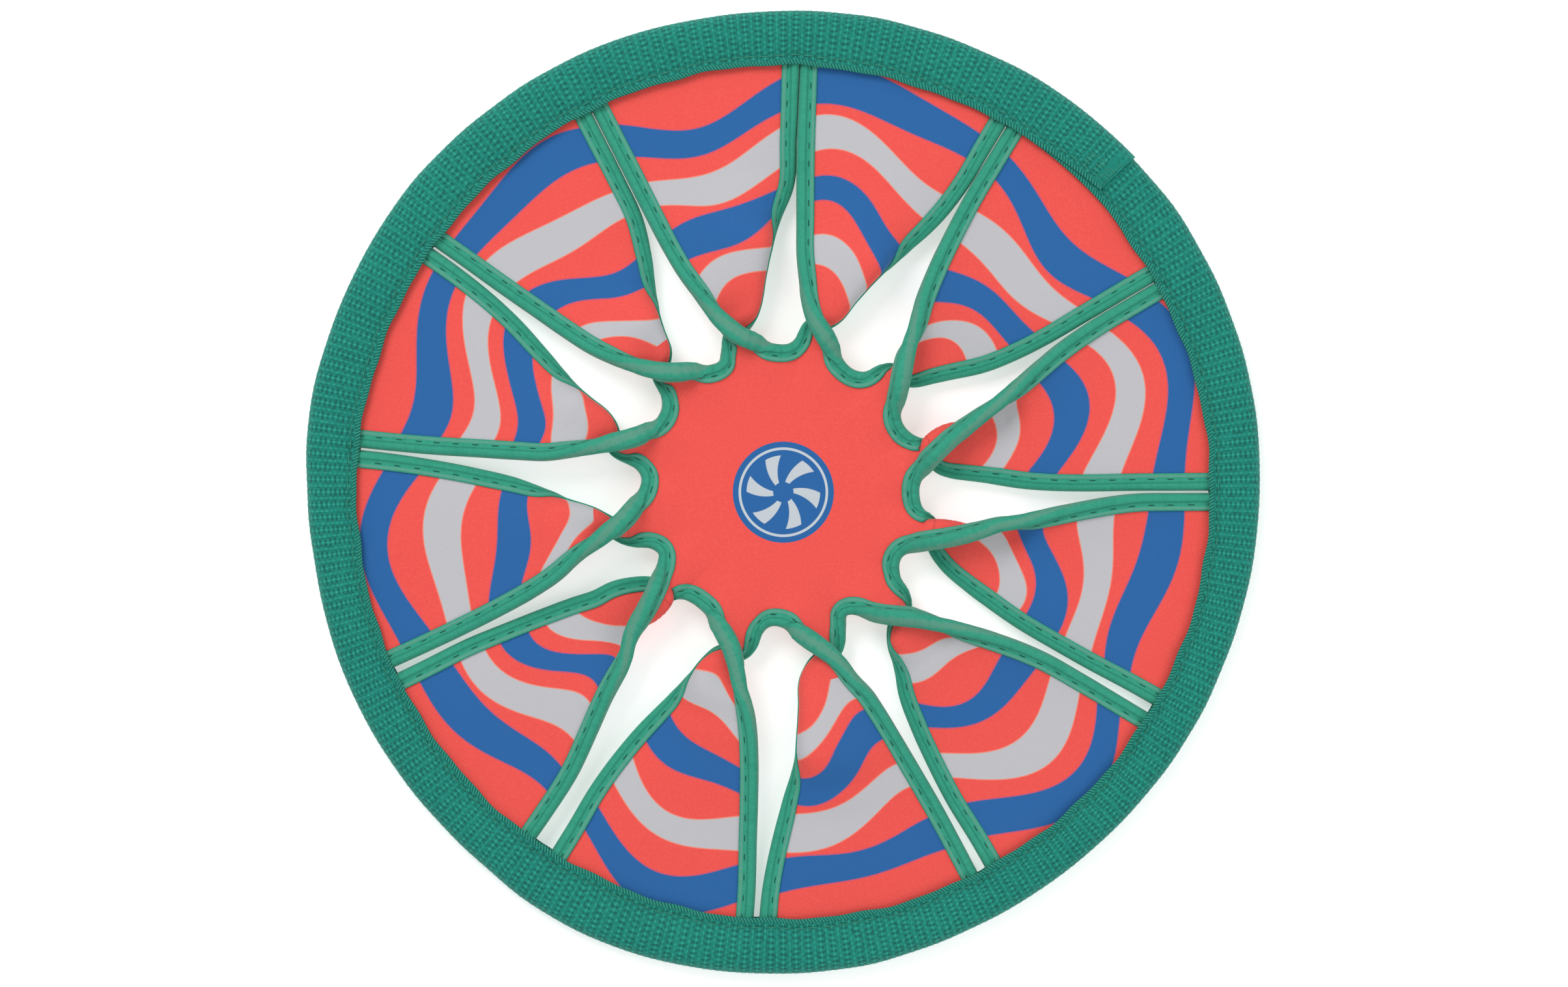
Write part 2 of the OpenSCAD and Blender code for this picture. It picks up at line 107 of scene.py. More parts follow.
# the same for the lowered edges, each from the hub end of its slot outwards
HUB_B = [
 [(-19.3, 40.2), (-18.7, 42.7), (-18.4, 45.8), (-17.4, 48.5), (-14.9, 51.1), (-12.1, 53.8), (-10.3, 57.3)],
 [(0.6, 45.3), (3.2, 46.1), (5.0, 48.2), (6.7, 50.9), (9.4, 52.9), (13.3, 53.8), (16.9, 56.1), (19.5, 59.7)],
 [(21.0, 37.9), (23.1, 36.9), (25.5, 36.6), (28.6, 37.3), (32.9, 38.0), (36.9, 36.4), (40.8, 35.0), (46.3, 35.4), (51.7, 36.2)],
 [(37.2, 19.6), (38.8, 18.1), (41.4, 16.5), (44.3, 14.2), (46.7, 11.1), (49.0, 7.9), (52.5, 6.1), (56.5, 5.3), (60.4, 4.6)],
 [(41.5, -0.8), (42.0, -3.4), (43.1, -6.2), (44.9, -9.3), (46.3, -12.8), (47.0, -16.4), (48.6, -20.3), (51.9, -25.0), (57.1, -29.7)],
 [(35.4, -22.3), (35.5, -25.4), (36.2, -28.3), (37.2, -31.3), (37.5, -34.8), (36.5, -38.7), (35.3, -42.6), (34.9, -46.5), (36.1, -52.8)],
 [(18.8, -38.1), (18.7, -41.1), (18.5, -45.0), (17.7, -48.3), (15.3, -51.2), (11.4, -53.6), (8.6, -57.5)],
 [(-3.9, -41.0), (-6.1, -42.1), (-7.8, -44.6), (-9.7, -47.7), (-12.1, -49.9), (-15.7, -50.5), (-19.4, -50.5), (-23.5, -53.7), (-27.8, -58.3)],
 [(-27.2, -34.3), (-29.4, -33.1), (-32.1, -32.4), (-36.0, -31.3), (-40.7, -28.9), (-43.9, -28.4), (-48.6, -28.4), (-53.3, -29.1)],
 [(-38.1, -19.0), (-39.6, -17.4), (-42.7, -16.3), (-46.6, -15.4), (-50.5, -13.6), (-54.1, -10.9), (-57.2, -8.8), (-61.1, -7.0)],
 [(-43.4, 4.2), (-44.1, 6.4), (-46.4, 8.7), (-49.4, 10.8), (-52.1, 12.6), (-53.7, 15.4), (-54.1, 18.5), (-55.2, 21.3)],
 [(-37.1, 25.9), (-37.1, 28.7), (-37.8, 31.8), (-38.8, 34.6), (-39.2, 37.3), (-38.4, 40.9), (-37.8, 44.4), (-38.8, 47.1), (-39.6, 49.1)],
]
# which way each vane's neck bulges: 1 with the raised edge lying flat and the lowered one tucked under, -1 the other way round
LEAN = [1, 1, -0.1, -1, -1, -0.1, 1, 0.3, -1, 0.7, 0.8, 0.8]
# how far out each raised edge keeps its hub side turned up: -1 longest, 1 shortest
ROLL_A = [0.0, 1.0, -0.5, -1, -1, -0.6, 0.6, -0.1, -1, -0.6, -0.25, -0.3]
UPRIGHT_A = [53, 49, 62, 75, 74, 66, 46, 60, 70, 50, 49, 53]      # radius to which each raised edge stands on end
UPRIGHT_B = [82, 80, 57, 53, 53, 60, 85, 66, 53, 72, 74, 72]      # the same for the lowered edges
# cad slot number of each slot above
CAD_SLOT = {333.0: 2, 1.8: 1, 31.5: 12, 61.3: 11, 90.5: 10, 120.5: 9, 152.5: 8, 183.5: 7, 214.5: 6, 245.5: 5, 275.5: 4, 304.5: 3}

HALF_SHEET = 1.35
HALF_FOAM = 0.97
HUB_Z = 8.0
RIM_Z = 4.23


def smooth01(x):
    x = np.clip(x, 0, 1)
    return x * x * (3 - 2 * x)


def hermite(xs, ys, x):
    """Cubic curve through the knots, with three-point tangents."""
    xs = np.asarray(xs, float); ys = np.asarray(ys, float)
    flat = ys.ndim == 1
    if flat:
        ys = ys[:, None]
    h = np.diff(xs)
    d = np.diff(ys, axis=0) / h[:, None]
    m = np.empty_like(ys)
    m[1:-1] = (d[:-1] * h[1:, None] + d[1:] * h[:-1, None]) / (h[1:] + h[:-1])[:, None]
    m[0] = d[0]; m[-1] = d[-1]
    x = np.asarray(x, float)
    i = np.clip(np.searchsorted(xs, x) - 1, 0, len(xs) - 2)
    t = ((x - xs[i]) / h[i])[:, None]
    hh = h[i][:, None]
    out = ((2 * t**3 - 3 * t**2 + 1) * ys[i] + (t**3 - 2 * t**2 + t) * hh * m[i]
           + (-2 * t**3 + 3 * t**2) * ys[i + 1] + (t**3 - t**2) * hh * m[i + 1])
    return out[:, 0] if flat else out


def polar(clock, r):
    c = np.radians(clock)
    return np.stack([r * np.sin(c), r * np.cos(c)], -1)


def blur(a, n):
    """Moving average along the first axis, ends held."""
    if n < 1:
        return a
    k = np.ones(2 * n + 1) / (2 * n + 1)
    pad = np.concatenate([np.repeat(a[:1], n, 0), a, np.repeat(a[-1:], n, 0)])
    if a.ndim == 1:
        return np.convolve(pad, k, "valid")
    flat = pad.reshape(len(pad), -1)
    return np.stack([np.convolve(flat[:, i], k, "valid") for i in range(flat.shape[1])], 1).reshape(a.shape)


def unit(v):
    return v / np.maximum(np.linalg.norm(v, axis=-1, keepdims=True), 1e-12)


# ---------------------------------------------------------------- edges (rails) of the vanes
U = np.concatenate([np.arange(43.0, 60.0, 0.5), np.arange(60.0, 137.1, 0.9)])
if U[-1] < 137.0:
    U = np.append(U, 137.0)
KNOT_U = [57, 61, 67, 74, 84, 96, 110, 124, 137]
BASE_Z = ([43, 52, 60, 75, 90, 110, 133, 137], [8.0, 8.35, 8.1, 7.0, 5.9, 4.9, 4.23, 4.23])
RISE = ([43, 46, 48.5, 51.3, 55, 60, 70, 80, 92, 105, 120, 133, 137], [0, 1.3, 3.3, 5.3, 5.9, 5.3, 4.5, 3.4, 2.2, 1.2, 0.4, 0, 0])


def tilt_of(k, lowered, u):
    w = (1 + LEAN[k]) / 2
    xs = [43, 46, 48.5, 51.3, 55]
    if lowered:
        near = np.array([180, 172, 158, 132, 110]) * w + np.array([180, 132, 94, 70, 52]) * (1 - w)
        r90 = UPRIGHT_B[k]
        far = ([(60, 105), (r90 - 4, 100), (r90, 88), (r90 + 6, 50), (r90 + 18, 18), (133, 0)] if r90 > 58
               else [(60, 40), (68, 18), (133, 0)])
    else:
        w = (1 + ROLL_A[k]) / 2
        near = np.array([180, 169, 147, 112, 73]) * w + np.array([180, 176, 170, 160, 148]) * (1 - w)
        r90 = UPRIGHT_A[k]
        far = ([(60, 73 + 50 * (1 - w)), (r90 - 3, 95), (r90, 88), (r90 + 6, 50), (r90 + 18, 18), (133, 0)] if r90 > 58
               else [(60, 44 + 46 * (1 - w)), (66, 24 + 20 * (1 - w)), (72, 15), (133, 0)])
    ys = list(near)
    for x, y in far:
        if x > xs[-1] + 0.5:
            xs.append(x); ys.append(y)
    return blur(blur(np.interp(u, xs + [137], ys + [0]), 2), 2)


def side_deg(j, which, r):
    s = SLOTS[j % 12]
    return np.interp(r, RR + [138], s[which] + [s[which][-1]])


def inset(tilt, r):
    return 0.92 + float(np.interp(r, [60, 75], [2.1, 1.5])) * np.sin(np.radians(tilt)) ** 2


def rail_knots(k, lowered):
    """Knots (parameter, plan point) of one vane edge from the hub end of its slot to the rim, and its tilt at U."""
    tilt = tilt_of(k, lowered, U)
    if lowered:
        pts = [np.array(HUB_A[(k - 1) % 12][0])] + [np.array(p) for p in HUB_B[k][1:]]
        j, which, sgn = k + 1, 2, -1
    else:
        pts = [np.array(p) for p in HUB_A[k]]
        j, which, sgn = k, 3, 1
    d = np.concatenate([[0], np.cumsum([np.linalg.norm(b - a) for a, b in zip(pts[:-1], pts[1:])])])
    us = list(43.0 + d / d[-1] * (np.linalg.norm(pts[-1]) - 43.0))
    ang = SLOTS[j % 12][0]
    for r in KNOT_U:
        if r < us[-1] + 4:
            continue
        t = float(np.interp(r, U, tilt))
        off = float(inset(t, r))
        if lowered and UPRIGHT_B[k] > 58:
            off += 0.9 * float(np.interp(r, [52, 57, UPRIGHT_B[k] - 3, UPRIGHT_B[k] + 4], [0, 1, 1, 0]))
        c = ang + side_deg(j, which, r) + sgn * math.degrees(off / r)
        pts.append(polar(c, r)); us.append(float(r))
    return np.array(us), np.array(pts), tilt


knotsets = [(rail_knots(k, False), rail_knots(k, True)) for k in range(12)]
rails = [[None, None] for _ in range(12)]
for j in range(12):
    (ua, pa, ta), (ub, pb, tb) = knotsets[(j - 1) % 12][0], knotsets[j][1]
    xs = np.concatenate([-(ua[::-1] - 43), ub[1:] - 43]); ps = np.concatenate([pa[::-1], pb[1:]])
    q = np.concatenate([-(U[::-1] - 43), U[1:] - 43])
    c = hermite(xs, ps, q)
    ease = smooth01((27 - np.abs(q)) / 12)[:, None]
    c = c * (1 - ease) + blur(blur(c, 2), 1) * ease
    za = hermite(*BASE_Z, U) + hermite(*RISE, U); zb = hermite(*BASE_Z, U) - hermite(*RISE, U)
    n = len(U)
    rails[(j - 1) % 12][0] = (np.column_stack([c[:n][::-1], za]), ta)
    rails[j][1] = (np.column_stack([c[n - 1:], zb]), tb)

NV = 33
I1 = 7                                       # the vane grids start at this sample; the round hub ends of the slots belong to the hub
UV = U[I1:]


def vane_surface(k):
    """Mid surface of vane k as an array (len(U), NV, 3), from its lowered to its raised edge, evenly spaced by length."""
    (A, fa), (B, fb) = rails[k]
    ang0 = SLOTS[k][0]; span = (SLOTS[(k + 1) % 12][0] - ang0) % 360
    mid = ang0 + span / 2
    rows = []
    for i, u in enumerate(U):
        if i < I1:
            continue

        def cyl(p):
            c = math.degrees(math.atan2(p[0], p[1]))
            return (c - mid + 180) % 360 - 180, math.hypot(p[0], p[1]), p[2]
        ca, ra, za = cyl(A[i]); cb, rb, zb = cyl(B[i])
        rbar = (ra + rb) / 2
        pa = np.array([-math.radians(ca) * rbar, za]); pb = np.array([-math.radians(cb) * rbar, zb])
        va = np.array([math.cos(math.radians(fa[i])), math.sin(math.radians(fa[i]))])
        vb = np.array([math.cos(math.radians(fb[i])), math.sin(math.radians(fb[i]))])
        hb = 5.2 * float(np.interp(u, [52, 57, UPRIGHT_B[k] - 3, UPRIGHT_B[k] + 9], [0, 1, 1, 0])) if UPRIGHT_B[k] > 58 else 0.0
        ha = 3.6 * float(np.interp(u, [52, 56, UPRIGHT_A[k] - 2, UPRIGHT_A[k] + 6], [0, 1, 1, 0])) if UPRIGHT_A[k] > 58 else 0.0
        full = float(np.interp(ROLL_A[k], [-1, -0.6, 0.1, 0.7], [7.0, 5.6, 4.6, 0]))
        ha = max(ha, full * float(np.interp(u, [46.5, 50, 54, 58, 66], [0, 1, 0.92, 0.78, 0])))
        qb = pb + hb * vb; qa = pa - ha * va
        w = float(np.linalg.norm(qa - qb))
        al = float(np.interp(u, [43, 50, 60, 80], [0.33, 0.38, 0.36, 0.34]))
        p1 = qb + al * w * vb; p2 = qa - al * w * va
        t = np.linspace(0, 1, 61)[:, None]
        bz = (1 - t)**3 * qb + 3 * (1 - t)**2 * t * p1 + 3 * (1 - t) * t**2 * p2 + t**3 * qa
        if hb > 0.05:
            bz = np.vstack([pb, pb * 0.5 + qb * 0.5, bz])
        if ha > 0.05:
            bz = np.vstack([bz, pa * 0.5 + qa * 0.5, pa])
        s = np.concatenate([[0], np.cumsum(np.linalg.norm(np.diff(bz, axis=0), axis=1))])
        q = np.linspace(0, s[-1], NV)
        c2 = np.column_stack([np.interp(q, s, bz[:, 0]), np.interp(q, s, bz[:, 1])])
        f = q / s[-1]
        rr = rb + (ra - rb) * f
        cc = mid - np.degrees(c2[:, 0] / rbar)
        rows.append(np.column_stack([polar(cc, rr), c2[:, 1]]))
    S = np.array(rows)
    # light even-out along the length keeps the arcs free of kinks; the hub row stays
    for _ in range(2):
        S[1:-1] = 0.25 * S[:-2] + 0.5 * S[1:-1] + 0.25 * S[2:]
    return S


vanes = [vane_surface(k) for k in range(12)]
NU = len(UV)

# one mesh for the whole mid surface: vane grids share their hub row with the hub rings
HUB_RINGS = 26
loop = np.concatenate([np.concatenate([rails[k][1][0][:I1], vanes[k][0], rails[k][0][0][1:I1][::-1]]) for k in range(12)])
NL = len(loop)
ring_f = np.concatenate([[1.0], 1 - np.linspace(0.022, 1, HUB_RINGS)[:-1]])


def hub_ring(f):
    """The hub boundary scaled in, easing to a circle."""
    r = np.hypot(loop[:, 0], loop[:, 1]); c = np.arctan2(loop[:, 1], loop[:, 0])
    rm = r.mean()
    rr = (rm + (r - rm) * f ** 2.2) * f
    x = rr * np.cos(c); y = rr * np.sin(c)
    z = HUB_Z + (0.45 * np.sin(2 * c + 0.6) * f * f * (1 - f) * 3 + 0.5 * (1 - f) ** 2 * 0.6) + (loop[:, 2] - HUB_Z) * smooth01((f - 0.7) / 0.3)
    return np.column_stack([x, y, z])


hub_pts = [hub_ring(f) for f in ring_f[1:]]
verts = []; vane_id = np.zeros((12, NU, NV), int)
edge_id = []                                 # per vane: vertex ids along the raised and the lowered edge, from the hub end of the slot
n = 0
hub_loop_id = np.arange(NL)
verts.append(loop); n = NL
PER_VANE = 2 * I1 - 1 + NV
for k in range(12):
    o0 = k * PER_VANE
    vane_id[k, 0, :] = o0 + I1 + np.arange(NV)
    body = vanes[k][1:].reshape(-1, 3)
    vane_id[k, 1:] = n + np.arange(len(body)).reshape(NU - 1, NV)
    verts.append(body); n += len(body)
    tip2 = ((k + 1) % 12) * PER_VANE
    edge_a = np.concatenate([[tip2], (o0 + I1 + NV + np.arange(I1 - 1))[::-1], vane_id[k, :, -1]])
    edge_b = np.concatenate([o0 + np.arange(I1), vane_id[k, :, 0]])
    edge_id.append((edge_a, edge_b))
ring_ids = [hub_loop_id]
for p in hub_pts:
    ring_ids.append(n + np.arange(NL)); verts.append(p); n += NL
centre_id = n
verts.append(np.array([[0, 0, hub_pts[-1][:, 2].mean()]])); n += 1
MID = np.concatenate(verts)

quads = []
for k in range(12):
    I = vane_id[k]
    a = I[:-1, :-1].ravel(); b = I[1:, :-1].ravel(); c = I[1:, 1:].ravel(); d = I[:-1, 1:].ravel()
    quads.append(np.column_stack([a, b, c, d]))
for p, q in zip(ring_ids[:-1], ring_ids[1:]):
    # the hub loop runs clockwise, so this order faces down as the vanes do there
    quads.append(np.column_stack([q, p, np.roll(p, -1), np.roll(q, -1)]))
QUADS = np.concatenate(quads)
TRIS = np.column_stack([np.full(NL, centre_id), ring_ids[-1], np.roll(ring_ids[-1], -1)])


def vertex_normals(P, quads, tris):
    nv = np.zeros_like(P)
    d1 = P[quads[:, 2]] - P[quads[:, 0]]; d2 = P[quads[:, 3]] - P[quads[:, 1]]
    fn = np.cross(d1, d2)
    for i in range(4):
        np.add.at(nv, quads[:, i], fn)
    if len(tris):
        fn = np.cross(P[tris[:, 1]] - P[tris[:, 0]], P[tris[:, 2]] - P[tris[:, 0]])
        for i in range(3):
            np.add.at(nv, tris[:, i], fn)
    return unit(nv)




def lap_bump(clock):
    """1 where the two tape layers of the lap lie on each other, easing to 0 on both sides."""
    c = np.asarray(clock, float) % 360
    return smooth01((c - 24) / 9) * smooth01((54 - c) / 6)


mc = np.degrees(np.arctan2(MID[:, 0], MID[:, 1])); mr = np.hypot(MID[:, 0], MID[:, 1])
MID[:, 2] += 0.57 * lap_bump(mc) * smooth01((mr - 116) / 17)
edges = np.concatenate([QUADS[:, [0, 1]], QUADS[:, [1, 2]], QUADS[:, [2, 3]], QUADS[:, [3, 0]]])
free = np.zeros(len(MID))
for k in range(12):
    w = smooth01((51.0 - UV) / 4.0)[:, None] * smooth01(np.minimum(np.arange(NV), NV - 1 - np.arange(NV)) / 5.0)[None, :]
    free[vane_id[k]] = np.maximum(free[vane_id[k]], w)
for i, ids in enumerate(ring_ids[1:12]):
    free[ids] = 1 - i / 11
count = np.zeros(len(MID)); np.add.at(count, edges[:, 0], 1); np.add.at(count, edges[:, 1], 1)
for _ in range(40):
    acc = np.zeros_like(MID)
    np.add.at(acc, edges[:, 0], MID[edges[:, 1]]); np.add.at(acc, edges[:, 1], MID[edges[:, 0]])
    acc /= np.maximum(count, 1)[:, None]
    MID[:, 2] += 0.6 * free * (acc[:, 2] - MID[:, 2])
NRM = vertex_normals(MID, QUADS, TRIS)
print("hub normal z", NRM[centre_id], "rim normal z", NRM[vane_id[0, -1, 16]])


def smooth_normals(N, rounds):
    """Averages normals across the grids, so that offsets at tight bends stay even."""
    M = N.copy()
    for _ in range(rounds):
        acc = M.copy()
        for k in range(12):
            G = M[vane_id[k]]
            s = G.copy()
            s[1:-1] += G[:-2] + G[2:]
            s[:, 1:-1] += G[:, :-2] + G[:, 2:]
            acc[vane_id[k, 1:]] = s[1:]
        M = unit(acc)
    return M


NRM = smooth_normals(NRM, 2)

# ---------------------------------------------------------------- building meshes


def new_mesh(name, P, faces, mats, smooth=True, attrs=None, face_mat=None):
    me = bpy.data.meshes.new(name)
    P = np.asarray(P, np.float32) * 0.001
    me.vertices.add(len(P)); me.vertices.foreach_set("co", P.ravel())
    sizes = np.concatenate([np.full(len(f), f.shape[1]) for f in faces])
    idx = np.concatenate([f.ravel() for f in faces])
    me.loops.add(len(idx)); me.loops.foreach_set("vertex_index", idx.astype(np.int32))
    me.polygons.add(len(sizes))
    me.polygons.foreach_set("loop_start", np.concatenate([[0], np.cumsum(sizes)[:-1]]).astype(np.int32))
    me.polygons.foreach_set("loop_total", sizes.astype(np.int32))
    if smooth:
        me.polygons.foreach_set("use_smooth", np.ones(len(sizes), bool))
    if face_mat is not None:
        me.polygons.foreach_set("material_index", face_mat.astype(np.int32))
    me.update(); me.validate()
    for m in mats:
        me.materials.append(m)
    for key, val in (attrs or {}).items():
        at = me.attributes.new(key, "FLOAT", "POINT")
        at.data.foreach_set("value", np.asarray(val, np.float32))
    o = bpy.data.objects.new(name, me)
    bpy.context.scene.collection.objects.link(o)
    return o


def shell(lo, hi, edge_round=0.0):
    """A closed layer of the sheet between the offsets lo and hi (mm along the normal)."""
    top = MID + NRM * hi; bot = MID + NRM * lo
    n = len(MID)
    P = np.concatenate([top, bot])
    faces = [QUADS, TRIS, QUADS[:, ::-1] + n, TRIS[:, ::-1] + n]
    walls = []
    for k in range(12):
        I = vane_id[k]
        for e in (edge_id[k][1], edge_id[k][0][::-1], I[-1, :]):
            a, b = e[:-1], e[1:]
            walls.append(np.column_stack([b, a, a + n, b + n]))
    w = np.concatenate(walls)
    faces.append(w)
    return P, faces


# flat-cloth coordinates (mm) for the knit, and the signed distances of the printed bands
ARC = np.zeros((12, NU, NV))
for k in range(12):
    G = MID[vane_id[k]]
    ARC[k, :, 1:] = np.cumsum(np.linalg.norm(np.diff(G, axis=1), axis=2), axis=1)
fu = np.zeros(len(MID)); fv = np.zeros(len(MID))
for k in range(12):
    fu[vane_id[k]] = ARC[k] - ARC[k][:, -1:] / 2
    fv[vane_id[k]] = UV[:, None]
    near_hub = vane_id[k][UV < 51.6]
    fu[near_hub] = MID[near_hub, 0]; fv[near_hub] = MID[near_hub, 1]
hubmask = np.ones(len(MID), bool)
for k in range(12):
    hubmask[vane_id[k, 1:]] = False
fu[hubmask] = MID[hubmask, 0]; fv[hubmask] = MID[hubmask, 1]

# the print: plain parallel wavy bands, from a formula, in the ring's colours (colour, mean radius, half width in mm)
WAVES = [("B", 122.0, 5.2), ("G", 104.5, 5.0), ("B", 87.0, 4.8), ("G", 70.5, 4.2)]


def band_fields(turn):
    """Signed distances (mm) to the grey and the blue bands at every mid-surface vertex."""
    gd = np.full(len(MID), 9.0); bd = np.full(len(MID), 9.0)
    for k in range(12):
        q = 1 - np.linspace(0, 1, NV)
        ang0 = SLOTS[k][0]; span = (SLOTS[(k + 1) % 12][0] - ang0) % 360
        a = np.radians(ang0 + q * span) + turn
        width = ARC[k][:, -1][:, None]
        g = np.full((NU, NV), 9.0); b = np.full((NU, NV), 9.0)
        for n, (col, r0, w0) in enumerate(WAVES):
            rc = r0 + 6.5 * np.sin(6 * a + 0.5 * n) + 3.0 * np.sin(11 * a - 0.7 * n + 1.0)
            hw = w0 * (1 + 0.2 * np.sin(8 * a + 1.9 * n))
            slope = np.gradient(rc, q)[None, :] / width
            sd = (np.abs(UV[:, None] - rc[None, :]) - hw[None, :]) / np.sqrt(1 + slope ** 2)
            if col == "G":
                g = np.minimum(g, sd)
            else:
                b = np.minimum(b, sd)
        gd[vane_id[k]] = g; bd[vane_id[k]] = b
    gd[hubmask] = 9.0; bd[hubmask] = 9.0
    return gd, bd


gd_top, bd_top = band_fields(0.0)
gd_bot, bd_bot = band_fields(2.1)
flat_r = np.zeros(len(MID))
for k in range(12):
    flat_r[vane_id[k]] = UV[:, None]

# ---------------------------------------------------------------- materials


class Nodes:
    """Small helper for building node materials."""

    def __init__(self, name):
        self.m = bpy.data.materials.new(name)
        self.m.use_nodes = True
        self.nt = self.m.node_tree
        self.nt.nodes.clear()
        self.out = self.nt.nodes.new("ShaderNodeOutputMaterial")
        self.bsdf = self.nt.nodes.new("ShaderNodeBsdfPrincipled")
        self.nt.links.new(self.bsdf.outputs[0], self.out.inputs[0])

    def put(self, sock, v):
        if isinstance(v, bpy.types.NodeSocket):
            self.nt.links.new(v, sock)
        elif isinstance(v, (tuple, list)) and len(v) == 3 and sock.type == "RGBA":
            sock.default_value = (*v, 1)
        else:
            sock.default_value = v

    def math(self, op, a, b=0.0, c=None, clamp=False):
        n = self.nt.nodes.new("ShaderNodeMath"); n.operation = op; n.use_clamp = clamp
        self.put(n.inputs[0], a); self.put(n.inputs[1], b)
        if c is not None:
            self.put(n.inputs[2], c)
        return n.outputs[0]

    def mix(self, f, a, b):
        n = self.nt.nodes.new("ShaderNodeMix"); n.data_type = "RGBA"
        self.put(n.inputs["Factor"], f)
        self.put(n.inputs[6], a); self.put(n.inputs[7], b)
        return n.outputs[2]

    def step(self, v, edge, soft):
        """1 where v is below edge, with a soft border."""
        n = self.nt.nodes.new("ShaderNodeMapRange"); n.interpolation_type = "SMOOTHSTEP"
        self.put(n.inputs["Value"], v)
        n.inputs["From Min"].default_value = edge - soft; n.inputs["From Max"].default_value = edge + soft
        n.inputs["To Min"].default_value = 1; n.inputs["To Max"].default_value = 0
        return n.outputs[0]

    def attr(self, name):
        n = self.nt.nodes.new("ShaderNodeAttribute"); n.attribute_name = name
        return n.outputs["Fac"]

    def vec(self, x, y, z=0.0):
        n = self.nt.nodes.new("ShaderNodeCombineXYZ")
        self.put(n.inputs[0], x); self.put(n.inputs[1], y); self.put(n.inputs[2], z)
        return n.outputs[0]

    def noise(self, vec, scale, detail=2.0, rough=0.5):
        n = self.nt.nodes.new("ShaderNodeTexNoise")
        self.put(n.inputs["Vector"], vec); n.inputs["Scale"].default_value = scale
        n.inputs["Detail"].default_value = detail; n.inputs["Roughness"].default_value = rough
        return n.outputs[0]

    def pos(self):
        n = self.nt.nodes.new("ShaderNodeNewGeometry")
        return n.outputs["Position"]

    def sep(self, v):
        n = self.nt.nodes.new("ShaderNodeSeparateXYZ"); self.put(n.inputs[0], v)
        return n.outputs

    def bump(self, h, dist, strength=1.0):
        n = self.nt.nodes.new("ShaderNodeBump")
        n.inputs["Strength"].default_value = strength; n.inputs["Distance"].default_value = dist
        self.put(n.inputs["Height"], h)
        return n.outputs[0]

    def finish(self, color, rough=0.8, bump=None, sheen=0.0, spec=0.25):
        self.put(self.bsdf.inputs["Base Color"], color)
        self.put(self.bsdf.inputs["Roughness"], rough)
        self.bsdf.inputs["Specular IOR Level"].default_value = spec
        if sheen:
            self.bsdf.inputs["Sheen Weight"].default_value = sheen
            self.bsdf.inputs["Sheen Roughness"].default_value = 0.5
        if bump is not None:
            self.put(self.bsdf.inputs["Normal"], bump)
        return self.m


def lin(r, g, b):
    def f(v):
        v /= 255
        return v / 12.92 if v <= 0.04045 else ((v + 0.055) / 1.055) ** 2.4
    return (f(r), f(g), f(b))


CORAL = lin(248, 88, 81)
BLUE = lin(38, 101, 168)
GREY = lin(196, 195, 200)


def knit_height(N, gain=1.0):
    """Fine wale lines and course dots of a jersey knit, from the flat-cloth coordinates."""
    u = N.attr("fu"); v = N.attr("fv")
    wales = N.math("SINE", N.math("MULTIPLY", u, 2 * math.pi / 0.52))
    course = N.math("SINE", N.math("ADD", N.math("MULTIPLY", v, 2 * math.pi / 0.44), N.math("MULTIPLY", wales, 0.7)))
    h = N.math("ADD", N.math("MULTIPLY", wales, 0.35), N.math("MULTIPLY", course, 0.3))
    return h


